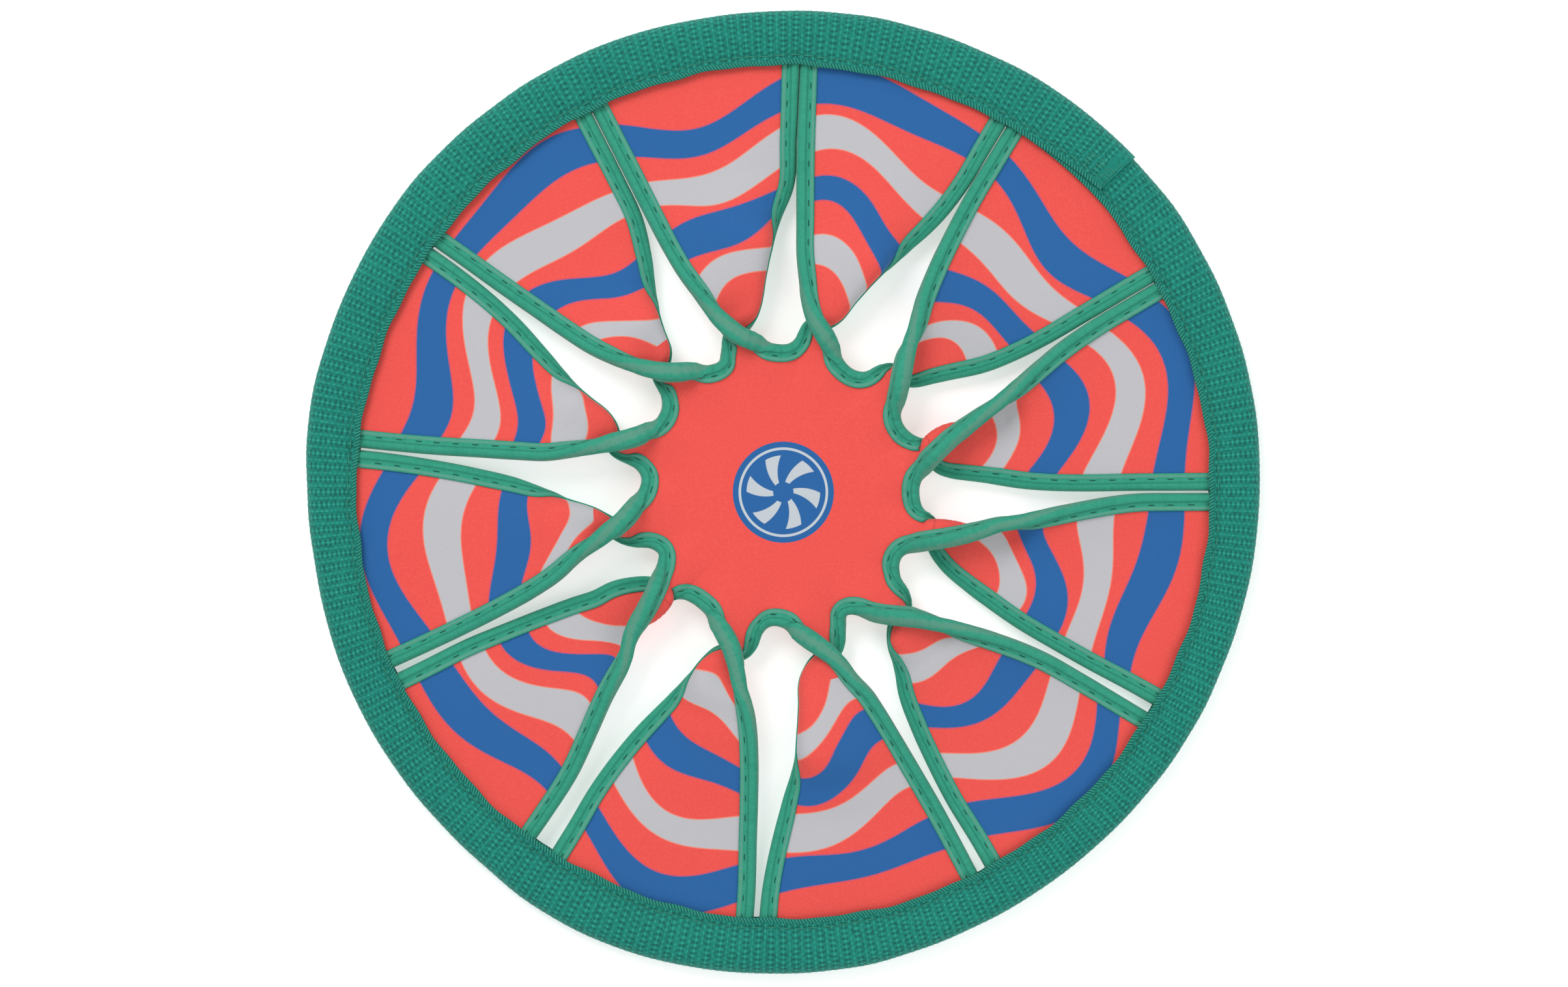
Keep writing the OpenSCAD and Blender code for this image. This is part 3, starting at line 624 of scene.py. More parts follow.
def printed(name, g, b, up_at_hub):
    N = Nodes(name)
    gd = N.attr("gd"); bd = N.attr("bd"); fr = N.attr("fr")
    P = N.pos()
    ns = N.noise(P, 1400.0, 3.0, 0.6)
    big = N.noise(P, 60.0, 3.0, 0.5)
    h = knit_height(N)
    # heathered coral ground
    c = N.mix(N.math("MULTIPLY", N.math("SUBTRACT", ns, 0.5), 1.1, clamp=True), CORAL, lin(250, 120, 108))
    c = N.mix(N.math("MULTIPLY", N.math("SUBTRACT", 0.5, ns), 1.0, clamp=True), c, lin(222, 78, 72))
    edge = N.math("ADD", gd, N.math("MULTIPLY", N.math("SUBTRACT", ns, 0.5), 0.25))
    bedge = N.math("ADD", bd, N.math("MULTIPLY", N.math("SUBTRACT", ns, 0.5), 0.2))
    inside = N.math("SUBTRACT", 1.0, N.step(fr, 60.6, 0.06))
    gm = N.math("MULTIPLY", N.step(edge, 0.0, 0.07), inside)
    go = N.math("MULTIPLY", N.step(edge, 0.32, 0.1), inside)
    bm = N.math("MULTIPLY", N.step(bedge, 0.0, 0.07), inside)
    bo = N.math("MULTIPLY", N.step(bedge, 0.36, 0.1), inside)
    c = N.mix(N.math("MULTIPLY", go, 0.85), c, lin(248, 150, 128))
    c = N.mix(gm, c, N.mix(N.math("MULTIPLY", ns, 0.5), GREY, lin(206, 206, 210)))
    c = N.mix(N.math("MULTIPLY", bo, 0.85), c, lin(196, 88, 128))
    c = N.mix(bm, c, N.mix(N.math("MULTIPLY", ns, 0.5), BLUE, lin(52, 112, 172)))
    rough = 0.82
    if up_at_hub:
        # a plain round patch with a six-blade pinwheel: a generic mark in the place of the maker's
        x, y, z = N.sep(P)[0:3]
        r = N.math("SQRT", N.math("ADD", N.math("MULTIPLY", x, x), N.math("MULTIPLY", y, y)))
        ang = N.math("ARCTAN2", y, x)
        patch = N.step(r, 0.0158, 0.00006)
        ring = N.math("MULTIPLY", N.step(r, 0.0140, 0.00006), N.math("SUBTRACT", 1.0, N.step(r, 0.0132, 0.00006)))
        sw = N.math("SINE", N.math("ADD", N.math("MULTIPLY", ang, 6.0), N.math("MULTIPLY", r, 260.0)))
        blades = N.math("MULTIPLY", N.step(N.math("MULTIPLY", sw, -1.0), -0.25, 0.1),
                        N.math("MULTIPLY", N.step(r, 0.0115, 0.00006), N.math("SUBTRACT", 1.0, N.step(r, 0.0032, 0.00006))))
        only = N.step(fr, 1.0, 0.2)
        c = N.mix(N.math("MULTIPLY", patch, only), c, N.mix(N.math("MULTIPLY", ns, 0.5), BLUE, lin(52, 112, 172)))
        mark = N.math("MULTIPLY", N.math("MAXIMUM", ring, blades), only)
        c = N.mix(mark, c, lin(203, 211, 218))
    hh = N.math("ADD", N.math("MULTIPLY", h, 1.0), N.math("MULTIPLY", ns, 1.2))
    return N.finish(c, rough, N.bump(hh, 0.00007, 0.6), sheen=0.12, spec=0.22)


m_face = printed("printed_knit_face", None, None, False)
m_back = printed("printed_knit_back", None, None, True)


def foam_mat():
    N = Nodes("foam")
    P = N.pos()
    v = N.nt.nodes.new("ShaderNodeTexVoronoi"); v.inputs["Scale"].default_value = 2600.0
    N.put(v.inputs["Vector"], P)
    c = N.mix(v.outputs["Distance"], lin(60, 60, 62), lin(30, 30, 32))
    return N.finish(c, 0.95, N.bump(v.outputs["Distance"], 0.0002, 0.7), spec=0.2)


def binding_mat():
    """Elastic binding: fine ribs, a painted grey sheen along the folded-over edge of the tape, painted shade in the
    seam pressed in by the stitches, and a turned edge.
    """
    N = Nodes("binding")
    P = N.pos()
    s = N.attr("bs"); a = N.attr("ba")
    aa = N.math("ABSOLUTE", a)
    ribs = N.math("SINE", N.math("MULTIPLY", s, 2 * math.pi / 0.55))
    fine = N.math("SINE", N.math("MULTIPLY", a, 2 * math.pi / 0.42))
    ns = N.noise(P, 1000.0, 3.0, 0.6)
    long = N.noise(N.vec(N.math("MULTIPLY", s, 0.12), N.math("MULTIPLY", a, 1.6)), 1.0, 3.0, 0.6)
    wr = N.noise(N.vec(N.math("MULTIPLY", s, 0.6), N.math("MULTIPLY", a, 0.16)), 1.0, 2.0, 0.5)
    c = N.mix(ns, lin(44, 150, 122), lin(64, 172, 144))
    c = N.mix(N.math("MULTIPLY", N.math("SUBTRACT", wr, 0.5), 1.0, clamp=True), c, lin(22, 128, 104))
    # painted grey sheen along the tape's folded-over edge, where its side faces up
    fold_sheen = N.step(N.math("ADD", aa, N.math("MULTIPLY", N.math("SUBTRACT", wr, 0.5), 1.6)), 1.0, 0.5)
    c = N.mix(N.math("MULTIPLY", fold_sheen, N.math("ADD", 0.14, N.math("MULTIPLY", long, 0.42))), c, lin(132, 154, 140))
    # painted shade in the seam that the stitches press in
    seam_shade = N.step(N.math("ABSOLUTE", N.math("SUBTRACT", aa, 4.15)), 0.3, 0.25)
    c = N.mix(N.math("MULTIPLY", seam_shade, 0.5), c, lin(22, 112, 90))
    hem = N.step(N.math("ABSOLUTE", N.math("SUBTRACT", aa, 6.3)), 0.42, 0.15)
    c = N.mix(N.math("MULTIPLY", hem, 0.5), c, lin(118, 168, 150))
    h = N.math("ADD", N.math("MULTIPLY", ribs, 0.16), N.math("ADD", N.math("MULTIPLY", fine, 0.14), N.math("ADD", N.math("MULTIPLY", ns, 0.5), N.math("MULTIPLY", wr, 2.4))))
    return N.finish(c, 0.85, N.bump(h, 0.00016, 0.6), sheen=0.15, spec=0.2)


def webbing_mat():
    """Tape of 455 ribs round the rim with staggered floats across it, and looped selvages; its weave and loops carry
    painted shade in the hollows and painted highlight on the tops.
    """
    N = Nodes("webbing")
    P = N.pos()
    y = N.attr("wy"); yd = N.attr("wd")
    px, pyy, pz = N.sep(P)[0:3]
    th = N.math("ARCTAN2", px, pyy)
    ns = N.noise(P, 900.0, 3.0, 0.6)
    big = N.noise(P, 40.0, 3.0, 0.55)
    jit = N.math("MULTIPLY", N.math("SUBTRACT", N.noise(P, 420.0, 2.0, 0.5), 0.5), 1.3)
    ax = N.math("ADD", N.math("MULTIPLY", th, 456.0), N.math("MULTIPLY", jit, 0.8))
    ay = N.math("ADD", N.math("MULTIPLY", y, 2 * math.pi / 1.6), N.math("MULTIPLY", jit, 0.8))
    wfl = N.attr("wf")
    cx = N.math("COSINE", ax); cy = N.math("COSINE", ay)
    half = N.math("COSINE", N.math("MULTIPLY", ax, 0.5))
    t = N.math("MULTIPLY", half, cy)
    tt = N.math("ADD", N.math("MULTIPLY", t, 0.46), N.math("MULTIPLY", cx, 0.36))
    tt = N.math("ADD", tt, N.math("MULTIPLY", cy, 0.2))
    tt = N.math("ADD", tt, N.math("MULTIPLY", N.math("COSINE", N.math("MULTIPLY", ax, 2.0)), 0.14))
    tt = N.math("MULTIPLY", tt, N.math("SUBTRACT", 1.0, N.math("MULTIPLY", wfl, 0.7)))
    tt = N.math("ADD", tt, N.math("MULTIPLY", N.math("SUBTRACT", ns, 0.5), 1.7))
    # painted shade in the hollows of the weave and painted highlight on its raised floats, from the same height as the
    # bump
    painted_shade = N.step(tt, -0.3, 0.3)
    float_highlight = N.math("SUBTRACT", 1.0, N.step(tt, 0.58, 0.3))
    base = N.mix(N.math("MULTIPLY", N.math("SUBTRACT", big, 0.3), 1.4, clamp=True), lin(10, 134, 119), lin(20, 146, 126))
    c = N.mix(N.math("MULTIPLY", painted_shade, 0.8), base, lin(2, 88, 78))
    c = N.mix(N.math("MULTIPLY", float_highlight, 0.6), c, lin(54, 180, 158))
    # selvage: slanted loops in the outer 1.5 mm of each edge, painted lighter on the loop tops and darker between them,
    # with a painted shadow line inside them
    lo = N.math("SINE", N.math("ADD", N.math("MULTIPLY", th, 840.0), N.math("MULTIPLY", yd, 4.2)))
    loop_shading = N.math("ADD", N.math("MULTIPLY", lo, 0.5), 0.5)
    sel = N.step(yd, 1.45, 0.18)
    c = N.mix(sel, c, N.mix(loop_shading, lin(4, 98, 86), lin(48, 166, 144)))
    gap = N.step(N.math("ABSOLUTE", N.math("SUBTRACT", yd, 1.7)), 0.14, 0.14)
    c = N.mix(N.math("MULTIPLY", gap, 0.35), c, lin(2, 70, 60))
    # painted shade along the stitch row, where the tape is pressed in
    stitch_row_shade = N.step(N.math("ABSOLUTE", N.math("SUBTRACT", yd, 3.0)), 0.32, 0.28)
    c = N.mix(N.math("MULTIPLY", stitch_row_shade, 0.35), c, lin(2, 78, 68))
    h = N.math("ADD", N.math("MULTIPLY", tt, 0.9), N.math("MULTIPLY", ns, 0.5))
    hs = N.math("MULTIPLY", lo, 0.8)
    inv = N.math("SUBTRACT", 1.0, sel)
    h = N.math("ADD", N.math("MULTIPLY", h, inv), N.math("MULTIPLY", hs, sel))
    return N.finish(c, 0.75, N.bump(h, 0.00022, 0.8), sheen=0.08, spec=0.3)


def thread_mat(name, painted_shade, light):
    N = Nodes(name)
    P = N.pos()
    s = N.attr("ts"); a = N.attr("ta")
    tw = N.math("SINE", N.math("ADD", N.math("MULTIPLY", s, 2 * math.pi / 0.55), a))
    # painted highlight on the ridges of the twist and painted shade between them, in step with the bump
    c = N.mix(N.math("ADD", N.math("MULTIPLY", tw, 0.5), 0.5), painted_shade, light)
    return N.finish(c, 0.6, N.bump(tw, 0.00008, 0.8), spec=0.35)


def hoop_mat(name, a, b):
    N = Nodes(name)
    ns = N.noise(N.pos(), 220.0, 4.0, 0.6)
    return N.finish(N.mix(ns, a, b), 0.42, N.bump(ns, 0.00006, 0.5), spec=0.4)


m_foam = foam_mat()
m_bind = binding_mat()
m_web = webbing_mat()
# each thread's two colours are its painted shade and its painted highlight along the twist
m_thread = thread_mat("binding_thread", lin(14, 84, 66), lin(30, 112, 90))
m_rimthread = thread_mat("rim_thread", lin(26, 120, 100), lin(84, 186, 158))
m_hoop = hoop_mat("hoop", lin(226, 228, 224), lin(238, 240, 236))
m_join = hoop_mat("joiner", lin(24, 24, 25), lin(44, 44, 46))

# ---------------------------------------------------------------- the panel


def add(o, slot, *cad):
    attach(o, "root")
    if cad:
        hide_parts(*cad)
    return o


def two(v):
    return np.concatenate([v, v])


P, F = shell(HALF_FOAM, HALF_SHEET)
face = new_mesh("panel_face", P, F, [m_face], attrs={"gd": two(gd_top), "bd": two(bd_top), "fr": two(flat_r), "fu": two(fu), "fv": two(fv)})
add(face, "printed_knit", "face_knit")
P, F = shell(-HALF_SHEET, -HALF_FOAM)
back = new_mesh("panel_back", P, F, [m_back], attrs={"gd": two(gd_bot), "bd": two(bd_bot), "fr": two(flat_r), "fu": two(fu), "fv": two(fv)})
add(back, "printed_knit", "back_knit")
P, F = shell(-HALF_FOAM + 0.01, HALF_FOAM - 0.01)
foam = new_mesh("panel_foam", P, F, [m_foam])
add(foam, "foam", "foam_core")

# ---------------------------------------------------------------- bindings and their stitching
tri_a = np.concatenate([QUADS[:, [0, 1, 2]], QUADS[:, [0, 2, 3]], TRIS])
tree = BVHTree.FromPolygons([Vector(p) for p in MID.tolist()], tri_a.tolist())


def on_sheet(points):
    """Nearest mid-surface points and interpolated normals."""
    shape = points.shape
    out = np.empty((points.size // 3, 3)); nor = np.empty_like(out)
    for i, p in enumerate(points.reshape(-1, 3)):
        loc, _, idx, _ = tree.find_nearest(Vector(p))
        t = tri_a[idx]
        a, b, c = MID[t]
        l = np.array(loc)
        v0, v1, v2 = b - a, c - a, l - a
        d00 = v0 @ v0; d01 = v0 @ v1; d11 = v1 @ v1; d20 = v2 @ v0; d21 = v2 @ v1
        den = d00 * d11 - d01 * d01
        if abs(den) < 1e-12:
            w = np.array([1, 0, 0.])
        else:
            bv = (d11 * d20 - d01 * d21) / den; bw = (d00 * d21 - d01 * d20) / den
            w = np.array([1 - bv - bw, bv, bw])
        out[i] = l; nor[i] = w @ NRM[t]
    return out.reshape(shape), unit(nor).reshape(shape)


OUTER = [(-4.62, 1.40), (-4.66, 1.78), (-4.42, 2.00), (-4.0, 2.06), (-3.3, 1.97), (-2.78, 1.74), (-2.3, 1.96), (-1.6, 2.24), (-0.8, 2.32), (-0.1, 2.12), (0.45, 1.62), (0.8, 0.9), (0.93, 0.0)]
INNER = [(-4.3, 1.36), (-3.2, 1.36), (-2.0, 1.36), (-0.8, 1.37), (0.1, 1.37), (0.32, 0.9), (0.4, 0.0)]
profile = OUTER + [(a, -b) for a, b in OUTER[-2::-1]] + [(a, -b) for a, b in INNER] + [(a, b) for a, b in INNER[-2::-1]]
profile = np.array(profile)
NOUT = 2 * len(OUTER) - 1
prof_arc = np.zeros(len(profile))
# distance round the outside from the fold, for the cloth coordinates
seg = np.linalg.norm(np.diff(profile[:NOUT], axis=0), axis=1)
cum = np.concatenate([[0], np.cumsum(seg)])
prof_arc[:NOUT] = cum - cum[NOUT // 2]
prof_arc[NOUT:] = np.sign(profile[NOUT:, 1]) * (np.abs(profile[NOUT:, 0]) + 1.0)


def binding_path(j):
    """Rail points of the binding of slot j: in along vane j-1's raised edge, round the hub end, out along vane j's lowered edge."""
    ka, kb = (j - 1) % 12, j % 12
    ia = edge_id[ka][0]; ib = edge_id[kb][1]
    p = np.concatenate([MID[ia[::-1]], MID[ib[1:]]])
    nn = np.concatenate([NRM[ia[::-1]], NRM[ib[1:]]])
    d = np.concatenate([[0], np.cumsum(np.linalg.norm(np.diff(p, axis=0), axis=1))])
    step = 0.5
    q = np.linspace(0, d[-1], int(d[-1] / step))
    pp = np.column_stack([np.interp(q, d, p[:, i]) for i in range(3)])
    nn = np.column_stack([np.interp(q, d, nn[:, i]) for i in range(3)])
    pp[1:-1] = blur(pp, 2)[1:-1]; nn = unit(blur(nn, 3))
    tip = d[len(ia) - 1]
    return pp, nn, q, tip


def capsules(name, mat, pts, nrm, tan, length, radius, sink, count_attr=True):
    """Short sewn stitches: at each point a thread segment that dives into the cloth at both ends."""
    nst, nr = 6, 7
    P = []; F = []; ts = []; ta = []
    f = np.linspace(-1, 1, nst)
    cap = 0.35 * radius
    n0 = 0
    P_all = []
    for p, n, t in zip(pts, nrm, tan):
        b = np.cross(n, t)
        rings = []
        for fi in f:
            c = p + t * (fi * length / 2) + n * (-sink * (abs(fi) ** 2.6))
            rad = radius * (1.0 if abs(fi) < 0.95 else 0.62)
            a = np.arange(nr) / nr * 2 * math.pi
            rings.append(c + rad * (np.cos(a)[:, None] * n + np.sin(a)[:, None] * b))
            ts += [fi * length / 2] * nr; ta += list(a)
        rings = np.array(rings).reshape(-1, 3)
        ends = [p - t * (length / 2 + cap) - n * sink * 1.05, p + t * (length / 2 + cap) - n * sink * 1.05]
        P_all.append(rings); P_all.append(np.array(ends))
        ts += [-length / 2, length / 2]; ta += [0, 0]
    m = nst * nr + 2
    base = []
    tri = []
    for i in range(nst - 1):
        for r in range(nr):
            a0 = i * nr + r; a1 = i * nr + (r + 1) % nr
            base.append((a0, a1, a1 + nr, a0 + nr))
    for r in range(nr):
        tri.append((nst * nr, (r + 1) % nr, r))
        tri.append((nst * nr + 1, (nst - 1) * nr + r, (nst - 1) * nr + (r + 1) % nr))
    cnt = len(pts)
    base = np.array(base); tri = np.array(tri)
    offs = (np.arange(cnt) * m)[:, None, None]
    Fq = (base[None] + offs).reshape(-1, 4)[:, ::-1]; Ft = (tri[None] + offs).reshape(-1, 3)[:, ::-1]
    return new_mesh(name, np.concatenate(P_all), [Fq, Ft], [mat], attrs={"ts": ts, "ta": ta})


bind_objs = []
for j in range(12):
    pp, nn, q, tip = binding_path(j)
    T = unit(np.gradient(pp, axis=0))
    nn = unit(nn - T * np.sum(nn * T, 1, keepdims=True))
    E = np.cross(T, nn)
    L = len(pp)
    ab = profile.copy()
    # flap stations on the sheet
    aa = np.unique(np.round(ab[ab[:, 0] < 0, 0], 3))
    M, MN = on_sheet(pp[:, None, :] + aa[None, :, None] * E[:, None, :])
    M = blur(M, 2); MN = unit(blur(MN, 3))
    seed = np.random.default_rng(100 + j)
    near_tip = np.exp(-((q - tip) / 9.0) ** 2)
    neck = smooth01((np.abs(q - tip) - 3.0) / 8.0) * smooth01((34.0 - np.abs(q - tip)) / 18.0)
    ph = seed.uniform(0, 6.28, 4)
    wob = (np.sin(q * 0.9 + ph[0]) + np.sin(q * 0.37 + ph[1])) * 0.035
    wrinkle = near_tip * (0.16 * np.sin(q * 2.1 + ph[2]) + 0.1 * np.sin(q * 3.7 + ph[3]))
    ring = np.empty((L, len(ab), 3))
    for i, (a, b) in enumerate(ab):
        outer = i < NOUT
        puff = (1 + (wob + wrinkle) * (1.0 if abs(a) < 3.6 else 0.5) + 0.8 * neck * smooth01((2.7 + a) / 1.6)) if outer else 1.0
        if a < 0:
            s = int(np.searchsorted(aa, round(a, 3)))
            m, mn = M[:, s], MN[:, s]
            k = smooth01((-a) / 1.2)
            m = m * k + (pp + a * E) * (1 - k); mn = unit(mn * k + nn * (1 - k))
            extra = (b - math.copysign(1.36, b)) * puff if outer else 0
            bb = (math.copysign(1.36, b) + extra) if outer else b
            ring[:, i] = m + mn * np.asarray(bb)[..., None] if np.ndim(bb) else m + mn * bb
        else:
            fat = (1 + 0.3 * neck)[:, None] if outer else 1.0
            ring[:, i] = pp + (E * a + nn * b) * fat
    n = len(ab)
    ids = np.arange(L * n).reshape(L, n)
    nx = np.roll(ids, -1, axis=1)
    Fq = np.stack([ids[:-1], nx[:-1], nx[1:], ids[1:]], -1).reshape(-1, 4)
    # end caps as strips between the outer and inner profile
    caps = []
    io = np.arange(NOUT); ii = np.arange(n - 1, NOUT - 1, -1)
    pairs = []
    po, pi = 0, 0
    tri = []
    while po < NOUT - 1 or pi < len(ii) - 1:
        if pi >= len(ii) - 1 or (po < NOUT - 1 and (po + 1) / (NOUT - 1) <= (pi + 1) / (len(ii) - 1)):
            tri.append((io[po], io[po + 1], ii[pi])); po += 1
        else:
            tri.append((io[po], ii[pi + 1], ii[pi])); pi += 1
    tri = np.array(tri)
    capA = tri[:, ::-1]; capB = tri + (L - 1) * n
    bs = np.repeat(q, n); ba = np.tile(prof_arc, L)
    ang = SLOTS[j][0]; num = CAD_SLOT[ang]
    o = new_mesh("binding_%02d" % num, ring.reshape(-1, 3), [Fq[:, ::-1], np.concatenate([capA, capB])[:, ::-1]], [m_bind], attrs={"bs": bs, "ba": ba})
    add(o, "binding", "slot_binding_%02d" % num)
    bind_objs.append(o)
    # stitches
    s_i = int(np.argmin(np.abs(aa + 2.8)))
    path = M[:, s_i]; pn = MN[:, s_i]
    d = np.concatenate([[0], np.cumsum(np.linalg.norm(np.diff(path, axis=0), axis=1))])
    cnt = int(d[-1] / 6.1)
    at = (np.arange(cnt) + 0.5) / cnt * d[-1] + seed.uniform(-0.3, 0.3, cnt)
    c = np.column_stack([np.interp(at, d, path[:, i]) for i in range(3)])
    cn = unit(np.column_stack([np.interp(at, d, pn[:, i]) for i in range(3)]))
    tt = np.gradient(path, d, axis=0)
    ct = unit(np.column_stack([np.interp(at, d, tt[:, i]) for i in range(3)]))
    ct = unit(ct - cn * np.sum(ct * cn, 1, keepdims=True))
    pts = np.concatenate([c + cn * 1.74, c - cn * 1.74])
    o = capsules("binding_thread_%02d" % num, m_thread, pts, np.concatenate([cn, -cn]), np.concatenate([ct, ct]), 3.0, 0.22, 0.3)
    add(o, "binding_thread", "slot_thread_%02d" % num)

# ---------------------------------------------------------------- the webbing rim
RIBS = 456
PER = 4
LAP_END = 46.8                               # the tape's outer end, clock degrees; its inner end is tucked under at LAP_START
LAP_START = 34.0
th = LAP_START + np.arange(0, int((360 + LAP_END - LAP_START) / 360 * RIBS * PER)) * 360.0 / (RIBS * PER)
COLS = len(th)
OOR = ([0, 10, 20, 30, 40, 50, 60, 70, 80, 90, 100, 110, 120, 130, 140, 150, 160, 170, 180, 190, 200, 210, 220, 230, 240, 250, 260, 270, 280, 290, 300, 310, 320, 330, 340, 350],
       [739.5, 742.5, 743, 744, 744, 744.5, 741.5, 739, 736.5, 732, 729.5, 727, 727, 726, 726, 728, 731.5, 737.5, 739.5, 742.5, 745, 743, 735, 732.5, 731.5, 730.5, 728.5, 732, 739, 739, 740.5, 743, 742, 742, 741, 738.5])


def out_of_round(c):
    xs = np.array(OOR[0] + [360], float); ys = np.array(OOR[1] + [OOR[1][0]], float)
    m = np.concatenate([ys[:-1], ys]); x = np.concatenate([xs[:-1] - 360, xs])
    k = hermite(np.concatenate([xs[:-1] - 360, xs, xs[1:] + 360]), np.concatenate([ys[:-1], ys, ys[1:]]), np.asarray(c, float) % 360)
    return (k / 736.0 - 1) * 150.0


base = [(133.42, 3.42), (134.6, 3.52), (136.4, 3.55), (138.2, 3.75), (140.2, 4.1), (142.6, 4.36), (144.6, 4.36)]
arc = [(145.77 + 4.23 * math.sin(a), 4.23 * math.cos(a)) for a in np.linspace(0.12, math.pi / 2, 12)]
half = np.array(base + arc)
full = np.concatenate([half, half[-2::-1] * [1, -1]])
dd = np.concatenate([[0], np.cumsum(np.linalg.norm(np.diff(full, axis=0), axis=1))])
ROWS = 105
yy = np.linspace(0, dd[-1], ROWS)
web = hermite(dd, full, yy)
tan = unit(np.gradient(web, axis=0))
wn = np.column_stack([-tan[:, 1], tan[:, 0]])
if wn[ROWS // 2, 0] < 0:
    wn = -wn
WIDTH = dd[-1]
slot_ang = np.array([s[0] for s in SLOTS])
X = th[:, None]; Y = yy[None, :]
xr = np.radians(X) * RIBS
row = 2 * math.pi * Y / 1.6
ydist = np.minimum(Y, WIDTH - Y)
tee = 0.38 * np.cos(xr) + 0.42 * np.cos(xr / 2) * np.cos(row) + 0.2 * np.cos(row)
wf = smooth01((th - (360 + LAP_END - 2.6)) / 1.2)                 # 1 on the smooth folded end of the tape
sel = np.exp(-(ydist / 0.9) ** 2)
h = 0.12 * tee * (1 - 0.7 * wf[:, None]) * (1 - 0.6 * sel)
h = h + 0.14 * np.exp(-((ydist - 0.7) / 0.6) ** 2) - 0.12 * np.exp(-((ydist - 1.8) / 0.35) ** 2)
h = h - 0.34 * np.exp(-((ydist - 3.0) / 0.75) ** 2)               # the stitch row presses the tape in
for a in slot_ang:
    x = ((X - a + 180) % 360 - 180) * math.pi / 180 * 134.0
    inner = np.exp(-(ydist / 5.5) ** 2)
    h = h - 0.6 * np.exp(-(x / 1.6) ** 2) * np.exp(-(ydist / 4.2) ** 2)
    h = h + 0.3 * (np.exp(-((x - 4.2) / 2.0) ** 2) + np.exp(-((x + 4.2) / 2.0) ** 2)) * inner
turn = np.radians(X)
h = h + (0.10 * np.sin(turn * 23 + 1.0) * np.cos(Y / WIDTH * math.pi) + 0.08 * np.sin(turn * 41 + 2.2 + Y * 0.2)) * (0.6 + 0.4 * np.sin(turn * 7))
bump_ = lap_bump(th)
over = smooth01((th - 384) / 9)                                   # where this run of the tape lies on top
under = smooth01((54 - th) / 6)                                   # where it lies underneath
lift = 0.5 * over - 0.4 * under
tip_drop = smooth01((th - (360 + LAP_END - 0.3)) / 0.3)
lift = lift - 0.55 * tip_drop
h = h + lift[:, None]
mouth = 0.22 * np.sin(np.radians(th) * 31 + 0.5) + 0.15 * np.sin(np.radians(th) * 57) + 0.12 * np.sin(np.radians(th) * 13 + 2)
mouth = mouth * (1 - bump_) + bump_ * (0.9 + 2.6 * np.clip((th - 396) / 10.8, 0, 1))
oor = out_of_round(th) - 0.12 * bump_
share = smooth01((web[:, 0] - 133.4) / 12.0)
zc = (RIM_Z + 0.57 * bump_)[:, None]
r_out = web[None, :, 0] + wn[None, :, 0] * h + oor[:, None] * share[None, :] + mouth[:, None] * (1 - share)[None, :]
z_out = zc + web[None, :, 1] + wn[None, :, 1] * h
INR = 17
yi = np.linspace(0, WIDTH, INR)
wi = hermite(dd, full, yi)
ti = unit(np.gradient(wi, axis=0)); ni = np.column_stack([-ti[:, 1], ti[:, 0]])
if ni[INR // 2, 0] < 0:
    ni = -ni
si = smooth01((wi[:, 0] - 133.4) / 12.0)
deep = (lift - (1.22 - 0.3 * over - 0.2 * under))[:, None]
r_in = wi[None, ::-1, 0] + ni[None, ::-1, 0] * deep + oor[:, None] * si[None, ::-1] + mouth[:, None] * (1 - si)[None, ::-1]
z_in = zc + wi[None, ::-1, 1] + ni[None, ::-1, 1] * deep
rr = np.concatenate([r_out, r_in], 1); zz = np.concatenate([z_out, z_in], 1)
zz = np.maximum(zz, 0.02)
nr = rr.shape[1]
c = np.radians(th)[:, None]
ring = np.stack([rr * np.sin(c), rr * np.cos(c), zz], -1)
ids = np.arange(COLS * nr).reshape(COLS, nr)
rn = np.roll(ids, -1, axis=1)
Fq = np.stack([ids[:-1], rn[:-1], rn[1:], ids[1:]], -1).reshape(-1, 4)
# both cut ends are closed with strips between the outer and the inner rows
ends = []
for e in (0, COLS - 1):
    o_ = ids[e, :ROWS]; n_ = ids[e, ROWS:][::-1]
    a = b = 0; t3 = []
    while a < ROWS - 1 or b < INR - 1:
        if b >= INR - 1 or (a < ROWS - 1 and (a + 1) / (ROWS - 1) <= (b + 1) / (INR - 1)):
            t3.append((o_[a], o_[a + 1], n_[b])); a += 1
        else:
            t3.append((o_[a], n_[b + 1], n_[b])); b += 1
    t3 = np.array(t3)
    ends.append(t3[:, ::-1] if e == 0 else t3)
wy = np.concatenate([np.repeat(yy[None], COLS, 0), np.repeat(yi[None, ::-1], COLS, 0)], 1)
wdd = np.minimum(wy, WIDTH - wy)
wff = np.repeat(wf[:, None], nr, 1)
webbing = new_mesh("rim_webbing_tape", ring.reshape(-1, 3), [Fq, np.concatenate(ends)], [m_web], attrs={"wy": wy.ravel(), "wd": wdd.ravel(), "wf": wff.ravel()})
add(webbing, "webbing", "rim_webbing")

